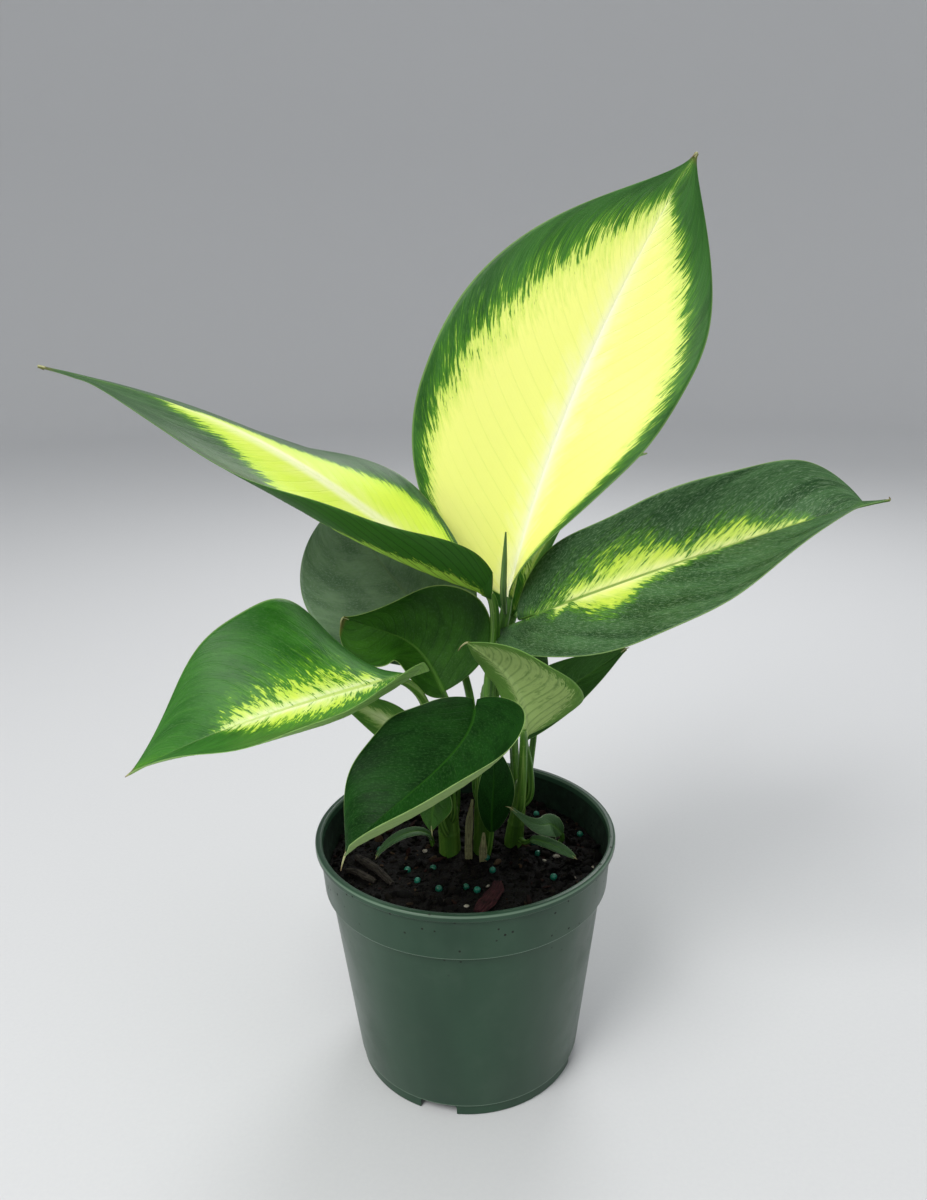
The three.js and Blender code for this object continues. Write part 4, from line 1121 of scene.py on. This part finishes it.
def leaf_material(name, look):
    g = Graph(name)
    w, across = g.pair("vein")
    u, s = g.pair("blade")
    inside, under = g.pair("zone")
    away = g.math("ABSOLUTE", across)
    side = g.math("SIGN", across)
    wander = g.noise(g.join(w, away, side), 0.12, 2)
    w_bent = g.plus(w, g.times(g.minus(wander, 0.5), 3))
    run = g.plus(away, g.times(u, 60))

    def streaks(across_veins, along_veins, detail, shift=0):
        """Noise drawn out along the side veins, from about -1 to 1."""
        drawn = g.drawn_out(w_bent, run, (across_veins, along_veins), shift, detail, 0.6)
        return g.times(g.minus(drawn, 0.5), 3)

    # How far inside the yellow, in streak lengths, once the streaks have broken its edge up.
    clusters = streaks(0.2, 0.09, 2, 2)
    broad = streaks(0.62, 0.13, 3, 5)
    fine = streaks(1.7, 0.26, 3, 8)
    value = inside
    for part, share in ((clusters, 0.4), (broad, 0.85), (fine, 0.85)):
        value = g.plus(value, g.times(part, share))
    yellow = g.smooth(value, -0.08, 0.25)
    turning = g.smooth(value, -0.9, 0.1)

    # Side veins, with a finer family between them.
    spacing = look["veins"]
    vein = g.smooth(g.math("PINGPONG", w, spacing / 2), 0.05, 0.42, 1, 0)
    small = g.smooth(g.math("PINGPONG", g.plus(w_bent, 0.7), spacing / 10), 0.0, 0.26, 1, 0)
    edge_fade = g.math("MAXIMUM", g.smooth(s, 0.4, 0.97, 1, 0.2), g.times(under, 0.9))
    vein = g.times(vein, edge_fade)
    lines = g.plus(g.times(vein, 0.8), g.times(small, 0.2), clamp=True)

    # Green tissue, with cloudy patches and fine silvery flecks that lie along the veins.
    cloud = g.noise(g.join(w, away, side), 0.07, 4, 0.6)
    green = g.mix(g.smooth(cloud, 0.34, 0.66), look["green_dark"], look["green"])
    green = g.mix(g.times(g.smooth(broad, -0.3, 0.7), 0.4), green, look["green_dark"])
    left_foot = g.times(g.smooth(across, -0.6, 0.0, 1, 0), g.smooth(u, 0.2, 0.75, 1, 0.15))
    green = g.mix(g.times(left_foot, look["left_dark"]), green, look["green_dark"])
    flecks = g.drawn_out(w_bent, run, (1.5, 0.6), side, 4, 0.85)
    flecks = g.smooth(flecks, 0.5, 0.62)
    green = g.mix(g.times(flecks, look["speckle"]), green, look["speckle_colour"])
    green = g.mix(g.times(lines, look["vein_strength"]), green, look["vein_colour"])
    green = g.mix(g.times(turning, 0.5), green, look["turning"])

    # Yellow tissue: palest beside the midrib, greener at its edge, faintly veined.
    wash = g.plus(away, g.times(clusters, 4))
    tipward = g.smooth(u, 0.45, 0.85, 1, 0.25)
    pale = g.times(g.smooth(wash, 0, look["wash"], 0.6, 0), tipward)
    lime = g.mix(pale, look["yellow"], look["cream"])
    lime = g.mix(g.times(g.smooth(away, 0.4, 3, 0.8, 0), tipward), lime, look["glow_by_rib"])
    greening = g.times(g.smooth(value, 0.1, 1.5, 1, 0), g.smooth(fine, -0.4, 0.5, 0.2, 1))
    lime = g.mix(g.times(greening, 0.75), lime, look["yellow_edge"])
    lime = g.mix(g.times(lines, 0.12), lime, look["yellow_edge"])
    tissue = g.mix(yellow, green, lime)

    # Midrib, fading towards the tip, and the thin edge.
    rib_width = g.plus(g.times(g.minus(1.0, u), look["rib"]), 0.2)
    rib = g.smooth(g.math("DIVIDE", away, rib_width), 0.5, 1.2, 1, 0)
    strength = look["rib_strength"]
    rib = g.times(rib, g.smooth(u, 0.3, 0.95, strength, strength * 0.2))
    tissue = g.mix(rib, tissue, g.mix(yellow, look["rib_colour"], look["rib_in_yellow"]))
    edge = g.times(g.smooth(s, 0.982, 0.996), look["edge_strength"])
    tissue = g.mix(edge, tissue, look["edge_colour"])
    tissue = g.mix(g.smooth(u, 0.972, 0.998, 0, 0.8), tissue, look["tip_colour"])

    # The underside is plainer, and its veins show darker.
    beneath = g.mix(look["under_share"], tissue, look["under"])
    beneath = g.mix(g.times(yellow, look["under_glow"]), beneath, look["under_yellow"])
    blush = g.times(g.smooth(broad, -0.1, 0.6), g.smooth(cloud, 0.4, 0.6))
    beneath = g.mix(g.times(blush, look["under_blush"]), beneath, look["under_vein"])
    wide = g.smooth(g.math("PINGPONG", w, spacing / 2), 0.1, 0.75, 1, 0)
    beneath = g.mix(g.times(wide, look["under_lines"]), beneath, look["under_vein"])
    g.set(base_color=g.mix(under, tissue, beneath))

    shine = g.plus(look["roughness"], g.times(g.minus(cloud, 0.5), 0.2))
    shine = g.plus(shine, g.times(under, 0.16))
    g.set(roughness=g.plus(shine, g.times(flecks, 0.08)), specular_ior_level=look["specular"])
    skin = g.cells(g.join(w, away, side), 2.6)
    relief = g.bump(skin, 0.02, 0.5)
    relief = g.bump(g.smooth(fine, -1, 1), 0.07, 0.5, relief)
    g.set(normal=g.bump(lines, -0.12, 0.6, relief))
    g.set(subsurface_weight=look["glow"], subsurface_radius=(1, 1, 0.3), subsurface_scale=0.8 * MM)
    return g.material


LEAF_LOOK = {
    "green": (54, 108, 38),
    "green_dark": (34, 82, 24),
    "left_dark": 0.0,
    "turning": (104, 170, 32),
    "yellow": (243, 252, 134),
    "yellow_edge": (166, 216, 52),
    "cream": (255, 255, 205),
    "glow_by_rib": (254, 255, 218),
    "wash": 9,
    "speckle": 0.25,
    "speckle_colour": (96, 138, 84),
    "vein_strength": 0.3,
    "vein_colour": (84, 134, 58),
    "veins": 6,
    "rib": 0.9,
    "rib_strength": 0.8,
    "rib_colour": (96, 142, 56),
    "rib_in_yellow": (254, 255, 224),
    "edge_strength": 0.5,
    "edge_colour": (150, 185, 110),
    "tip_colour": (112, 104, 52),
    "under": (92, 140, 50),
    "under_share": 0.6,
    "under_vein": (46, 92, 24),
    "under_yellow": (200, 228, 84),
    "under_glow": 0.75,
    "under_blush": 0.25,
    "under_lines": 0.6,
    "roughness": 0.42,
    "specular": 0.22,
    "glow": 0.1,
}


def leaf_look(**changes):
    return {**LEAF_LOOK, **changes}


LOOKS = {
    "lime": leaf_look(veins=7.5, yellow=(250, 254, 142), green=(54, 108, 38), green_dark=(36, 84, 26)),
    "folded": leaf_look(
        veins=6.5, green=(70, 106, 64), green_dark=(42, 78, 40), speckle=0.5,
        speckle_colour=(112, 138, 104), under=(46, 104, 14), under_share=0.85,
        under_vein=(14, 54, 2), under_yellow=(190, 232, 86), under_glow=0.75,
        yellow=(218, 242, 84), cream=(242, 250, 150), rib_in_yellow=(246, 252, 190),
    ),
    "dark_flamed": leaf_look(
        veins=6, green=(70, 110, 64), green_dark=(24, 64, 24), speckle=0.7,
        speckle_colour=(126, 154, 118), vein_strength=0.15, rib_in_yellow=(116, 154, 50),
        wash=8, yellow=(226, 244, 96), cream=(250, 252, 176), yellow_edge=(136, 190, 44),
        rib=0.6, glow_by_rib=(250, 252, 180), left_dark=0.75,
    ),
    "flamed": leaf_look(
        veins=6, green=(60, 124, 38), green_dark=(34, 94, 20), rib_in_yellow=(200, 224, 110),
        wash=7, yellow=(226, 246, 96), under=(148, 194, 104), under_share=0.92,
        under_vein=(96, 144, 62),
    ),
    "glossy": leaf_look(
        veins=5, green=(24, 68, 18), green_dark=(8, 44, 6), speckle=0.45, roughness=0.48,
        specular=0.08, rib=0.35, rib_colour=(42, 92, 22), rib_strength=0.7, under=(134, 160, 100),
        vein_colour=(30, 76, 22), edge_strength=0.9, speckle_colour=(60, 100, 52),
        under_share=0.9, under_vein=(112, 140, 80),
    ),
    "grey": leaf_look(
        veins=6, green=(120, 148, 114), green_dark=(82, 110, 80), speckle=0.7,
        speckle_colour=(126, 146, 126), vein_colour=(112, 136, 106),
        rib_colour=(112, 136, 100), edge_strength=0.2,
    ),
    "mid": leaf_look(
        veins=4.5, green=(54, 106, 20), green_dark=(30, 74, 6), edge_strength=0.9,
        edge_colour=(150, 176, 100), vein_colour=(24, 62, 6), vein_strength=0.45,
        rib_strength=0.5,
    ),
    "pale": leaf_look(
        veins=4, green=(96, 142, 58), green_dark=(66, 118, 38), under=(106, 148, 64),
        under_yellow=(168, 196, 118), yellow=(160, 188, 104), cream=(176, 200, 130),
        yellow_edge=(130, 168, 84), turning=(110, 156, 70), vein_colour=(64, 112, 50),
        rib_in_yellow=(190, 208, 150), under_vein=(78, 120, 50), under_glow=0.9,
        under_blush=0.6, under_lines=0.35,
    ),
    "small": leaf_look(veins=3.5, green=(64, 110, 46), green_dark=(42, 84, 30), edge_strength=0.8),
    "sage": leaf_look(
        veins=3, green=(78, 112, 72), green_dark=(54, 88, 50), edge_strength=0.9,
        edge_colour=(190, 206, 170), under=(110, 138, 96), rib=0.5, rib_strength=0.4,
    ),
}


def stem_material(name, bright, deep, pale):
    """Fresh stem: streaks along it, a pale mottle, and a deeper colour in its channel."""
    g = Graph(name)
    along, around = g.pair("vein")
    t, turn = g.pair("blade")
    fibres = g.drawn_out(along, around, (0.05, 2.4), 3.0, 3, 0.6)
    bands = g.drawn_out(along, around, (0.02, 0.9), 6.0, 1)
    mottle = g.drawn_out(along, around, (0.5, 0.8), 9.0, 3, 0.6)
    tint = g.mix(g.smooth(fibres, 0.2, 0.8, 0.15, 0.95), deep, bright)
    tint = g.mix(g.times(g.smooth(bands, 0.48, 0.66), 0.6), tint, pale)
    tint = g.mix(g.times(g.smooth(mottle, 0.55, 0.72), 0.35), tint, pale)
    tint = g.mix(g.smooth(turn, 0.04, 0.2, 0.6, 0), tint, deep)
    g.set(base_color=tint, specular_ior_level=0.4)
    g.set(roughness=g.plus(0.36, g.times(mottle, 0.16)))
    relief = g.bump(fibres, 0.12, 0.6)
    g.set(normal=g.bump(mottle, 0.06, 0.4, relief))
    g.set(subsurface_weight=0.12, subsurface_radius=(1, 1, 0.3), subsurface_scale=1 * MM)
    return g.material


def hook_material():
    """The dry end of a tip, from cream to brown."""
    g = Graph("tip_end")
    along, around = g.pair("vein")
    t, _ = g.pair("blade")
    fibres = g.drawn_out(along, around, (0.7, 5), 0.0, 2)
    tint = g.mix(g.smooth(t, 0.5, 1.0), (176, 180, 128), (112, 92, 56))
    g.set(base_color=g.mix(g.times(fibres, 0.4), tint, (120, 100, 66)))
    g.set(roughness=0.6, normal=g.bump(fibres, 0.05, 0.6))
    return g.material


def paper_material():
    """Dry sheath: papery, fibrous along its length, with browner patches."""
    g = Graph("dry_sheath_paper")
    along, around = g.pair("vein")
    fibres = g.drawn_out(along, around, (0.12, 4.5), 0.0, 4, 0.65)
    patch = g.drawn_out(along, around, (0.35, 0.5), 5.0, 3, 0.6)
    tint = g.mix(g.smooth(fibres, 0.32, 0.68), (96, 92, 58), (170, 170, 124))
    tint = g.mix(g.times(g.smooth(patch, 0.5, 0.7), 0.7), tint, (72, 68, 40))
    g.set(base_color=tint, roughness=0.78, normal=g.bump(fibres, 0.16, 0.9))
    g.set(subsurface_weight=0.1, subsurface_radius=(1, 0.8, 0.4), subsurface_scale=0.6 * MM)
    return g.material


def pot_material():
    """Moulded plastic: a soft shine, faint flow marks, a film of dust, specks of soil, painted
    highlights along its outer edges, and painted shade inside.
    """
    g = Graph("pot_plastic_moulded")
    place = g.place()
    x, y, z = g.split(place)
    inner, _ = g.pair("zone")
    flow = g.noise(g.join(g.times(x, 0.05), g.times(y, 0.05), g.times(z, 0.012)), 1, 3)
    film = g.noise(place, 0.06, 5, 0.6)
    grain = g.noise(place, 2.6, 3, 0.6)
    tint = g.mix(g.smooth(flow, 0.3, 0.7), (38, 66, 49), (45, 75, 56))
    tint = g.mix(g.times(g.smooth(film, 0.45, 0.8), 0.14), tint, (100, 116, 102))
    specks = g.times(g.smooth(g.cells(place, 0.3), 0.09, 0.18, 1, 0), g.smooth(film, 0.48, 0.52))
    specks = g.times(specks, g.smooth(z, 60, 82, 0.0, 1))
    tint = g.mix(specks, tint, (16, 18, 12))
    out = g.math("SQRT", g.plus(g.math("POWER", x, 2.0), g.math("POWER", y, 2.0)))
    # Painted highlight: pale lines round the outer edges at the lip, the collar step and the foot step,
    # not inside.
    painted_edge_highlight = 0.0
    for height in (POT["collar_foot_z"] + 0.1, POT["foot_height"] + 0.1, POT["height"] - 0.6):
        off = g.math("ABSOLUTE", g.minus(z, height))
        painted_edge_highlight = g.plus(painted_edge_highlight, g.smooth(off, 0.15, 0.5, 1, 0), clamp=True)
    painted_edge_highlight = g.times(painted_edge_highlight, g.smooth(out, POT["body_foot"] - 0.4, POT["body_foot"] - 0.2))
    painted_edge_highlight = g.times(painted_edge_highlight, g.minus(1.0, inner))
    tint = g.mix(g.times(painted_edge_highlight, 0.5), tint, (134, 160, 138))
    # Painted shade: the inside of the pot darkened towards near black, mottled by noise and made
    # rougher.
    painted_inner_shade = g.times(inner, g.smooth(g.noise(place, 0.3, 4, 0.7), 0.3, 0.6, 0.55, 0.85))
    tint = g.mix(painted_inner_shade, tint, (10, 18, 11))
    g.set(base_color=tint, specular_ior_level=0.28)
    shine = g.plus(0.3, g.times(g.smooth(film, 0.4, 0.75), 0.14))
    g.set(roughness=g.plus(shine, g.times(g.plus(specks, painted_inner_shade), 0.3)))
    relief = g.bump(grain, 0.02, 0.5)
    g.set(normal=g.bump(g.noise(place, 0.1, 2), 0.25, 0.25, relief))
    return g.material


def soil_material():
    g = Graph("soil_peat")
    place = g.place()
    clods = g.noise(place, 0.45, 6, 0.7)
    grit = g.cells(place, 1.5)
    tint = g.mix(g.smooth(clods, 0.35, 0.68), (6, 5, 4), (20, 16, 13))
    tint = g.mix(g.smooth(grit, 0.0, 0.1, 0.25, 0), tint, (60, 48, 36))
    g.set(base_color=tint, roughness=g.smooth(clods, 0.3, 0.7, 0.7, 0.98), specular_ior_level=0.2)
    relief = g.bump(clods, 1.2, 0.9)
    g.set(normal=g.bump(grit, 0.4, 0.8, relief))
    return g.material


def crumb_material():
    """Crumbs, each with its own shade from near black peat to brown bark."""
    g = Graph("soil_crumb")
    shade, other = g.pair("blade")
    place = g.place()
    grain = g.noise(place, 1.6, 4, 0.7)
    tint = g.mix(g.smooth(shade, 0.4, 0.95), (7, 6, 5), (24, 19, 15))
    tint = g.mix(g.smooth(shade, 0.95, 1.0), tint, (84, 66, 48))
    tint = g.mix(g.times(g.smooth(other, 0.95, 0.98), 0.6), tint, (54, 28, 24))
    tint = g.mix(g.times(grain, 0.5), tint, (6, 5, 5))
    g.set(base_color=tint, roughness=0.9, specular_ior_level=0.15, normal=g.bump(grain, 0.3, 0.9))
    return g.material


def white_bit_material():
    g = Graph("soil_white_mineral")
    place = g.place()
    pits = g.noise(place, 1.8, 4, 0.65)
    tint = g.mix(g.smooth(pits, 0.4, 0.66), (186, 180, 166), (120, 110, 94))
    g.set(base_color=tint, roughness=0.9, normal=g.bump(pits, 0.3, 0.9))
    return g.material


def prill_material():
    """Slow release prill: a smooth teal coat, thinner and greener in places."""
    g = Graph("soil_prill_coat")
    shade, _ = g.pair("blade")
    coat = g.noise(g.place(), 0.8, 3, 0.5)
    tint = g.mix(g.smooth(shade, 0.1, 0.9), (14, 92, 72), (26, 116, 95))
    tint = g.mix(g.times(g.smooth(coat, 0.5, 0.75), 0.5), tint, (30, 80, 56))
    g.set(base_color=tint, roughness=0.34, normal=g.bump(coat, 0.1, 0.4))
    g.set(subsurface_weight=0.15, subsurface_radius=(0.4, 1, 0.8), subsurface_scale=0.8 * MM)
    return g.material


def bark_material(name, dark, light, moss):
    g = Graph(name)
    along, around = g.pair("vein")
    place = g.place()
    grain = g.drawn_out(along, around, (0.3, 2.6), 1.0, 5, 0.7)
    flakes = g.noise(place, 0.6, 4, 0.65)
    tint = g.mix(g.smooth(grain, 0.34, 0.66), dark, light)
    tint = g.mix(g.times(g.smooth(flakes, 0.52, 0.68), 0.6), tint, moss)
    g.set(base_color=tint, roughness=0.88, specular_ior_level=0.2)
    relief = g.bump(grain, 0.9, 0.9)
    g.set(normal=g.bump(flakes, 0.4, 0.6, relief))
    return g.material


# ---------------------------------------------------------------- the plant

leaf_materials = {name: leaf_material("leaf_" + name, look) for name, look in LOOKS.items()}
stem = stem_material("petiole_green", (88, 138, 42), (48, 92, 26), (150, 184, 96))
cane = stem_material("cane_green", (92, 136, 44), (52, 92, 30), (140, 170, 82))
hook = hook_material()
for seed, (name, leaf) in enumerate(LEAVES.items()):
    leaf_piece(name, leaf, [leaf_materials[leaf["look"]], stem, hook], seed)
for seed, (name, (points, radii)) in enumerate(CANES.items()):
    cane_piece(name, points, radii, cane, seed)
paper = paper_material()
for seed, (name, points) in enumerate(SHEATHS.items()):
    sheath_piece(name, points, paper, seed)
rolled_leaf_piece(stem_material(
    "rolled_leaf_green", (98, 132, 72), (58, 92, 46), (140, 166, 104)
))
pot_piece(pot_material())
soil_piece(soil_material())
crumbs_piece(crumb_material())
white_bits_piece(white_bit_material())
prills_piece(prill_material())
bark_materials = {
    "bark_red": bark_material("bark_red_grain", (30, 14, 17), (84, 44, 48), (56, 40, 38)),
    "bark_grey": bark_material("bark_grey_grain", (12, 11, 10), (70, 64, 57), (34, 34, 26)),
}
for name, piece in BARK.items():
    bark_piece(name, bark_materials[piece["slot"]], **piece)


# ---------------------------------------------------------------- stage, camera and light

CAMERA = {"place": (1.0, -323.8, 283.4), "pitch": 16.8, "roll": -1.07, "lens": 28.5}
FLOOR = {"flat": 2200, "sweep": 800, "wall_top": 1700, "below_pot": 0.05, "sides": 128}


def add_camera():
    """The photograph's view: a little above the leaves' middle, looking slightly down."""
    data = bpy.data.cameras.new("camera")
    data.sensor_width = 36
    data.lens = CAMERA["lens"]
    data.clip_start = 0.01
    pitch, roll = math.radians(CAMERA["pitch"]), math.radians(CAMERA["roll"])
    forward = Vector((0, math.cos(pitch), -math.sin(pitch)))
    up = Vector((0, math.sin(pitch), math.cos(pitch)))
    right = Vector((1, 0, 0))
    turned_right = right * math.cos(roll) + up * math.sin(roll)
    turned_up = up * math.cos(roll) - right * math.sin(roll)
    turn = Matrix((turned_right, turned_up, -forward)).transposed().to_4x4()
    thing = bpy.data.objects.new("camera", data)
    thing.matrix_world = Matrix.Translation(Vector(CAMERA["place"]) * MM) @ turn
    bpy.context.scene.collection.objects.link(thing)
    bpy.context.scene.camera = thing


def add_light(name, place, size, power, tint):
    data = bpy.data.lights.new(name, "AREA")
    data.shape = "DISK"
    data.size = size
    data.energy = power
    data.color = tint
    thing = bpy.data.objects.new(name, data)
    aim = Vector((0, 0, 0.16)) - Vector(place)
    thing.matrix_world = Matrix.Translation(place) @ aim.to_track_quat("-Z", "Y").to_matrix().to_4x4()
    bpy.context.scene.collection.objects.link(thing)


def add_floor():
    """A pale studio floor that sweeps up all round, far off, with a faint matt grain."""
    g = Graph("floor_pale")
    grain = g.noise(g.place(), 0.6, 3, 0.6)
    g.set(base_color=g.mix(grain, (214, 215, 217), (220, 221, 222)))
    g.set(roughness=0.75, normal=g.bump(grain, 0.02, 0.3))
    edge, sweep, sides = FLOOR["flat"], FLOOR["sweep"], FLOOR["sides"]
    low = -FLOOR["below_pot"]
    turns = np.linspace(0.1, math.pi / 2, 14)
    profile = [(300, low), (1000, low), (edge, low)]
    profile += [(edge + sweep * math.sin(a), low + sweep - sweep * math.cos(a)) for a in turns]
    profile.append((edge + sweep, FLOOR["wall_top"]))
    angle = np.linspace(0, 2 * math.pi, sides, endpoint=False)
    rings = [np.stack([r * np.cos(angle), r * np.sin(angle), z + 0 * angle], 1) for r, z in profile]
    faces = [list(range(sides))]
    for i in range(len(profile) - 1):
        for k in range(sides):
            near, far, after = i * sides, (i + 1) * sides, (k + 1) % sides
            faces.append([near + k, far + k, far + after, near + after])
    shape = Shape()
    shape.add(np.concatenate(rings), faces)
    shape.build("floor", [g.material])


def add_world():
    world = bpy.data.worlds.new("studio")
    world.use_nodes = True
    background = world.node_tree.nodes["Background"]
    background.inputs["Color"].default_value = (0.96, 0.98, 1, 1)
    background.inputs["Strength"].default_value = 0.5
    bpy.context.scene.world = world
    bpy.context.scene.view_settings.view_transform = "Standard"


add_camera()
add_floor()
add_world()
add_light("key", (-0.55, -0.75, 1.15), 0.7, 13.5, (1, 0.99, 0.97))
add_light("fill", (0.95, -0.55, 0.75), 0.8, 1.1, (0.97, 0.99, 1))
add_light("back", (0.25, 0.85, 0.9), 0.6, 4, (1, 1, 1))
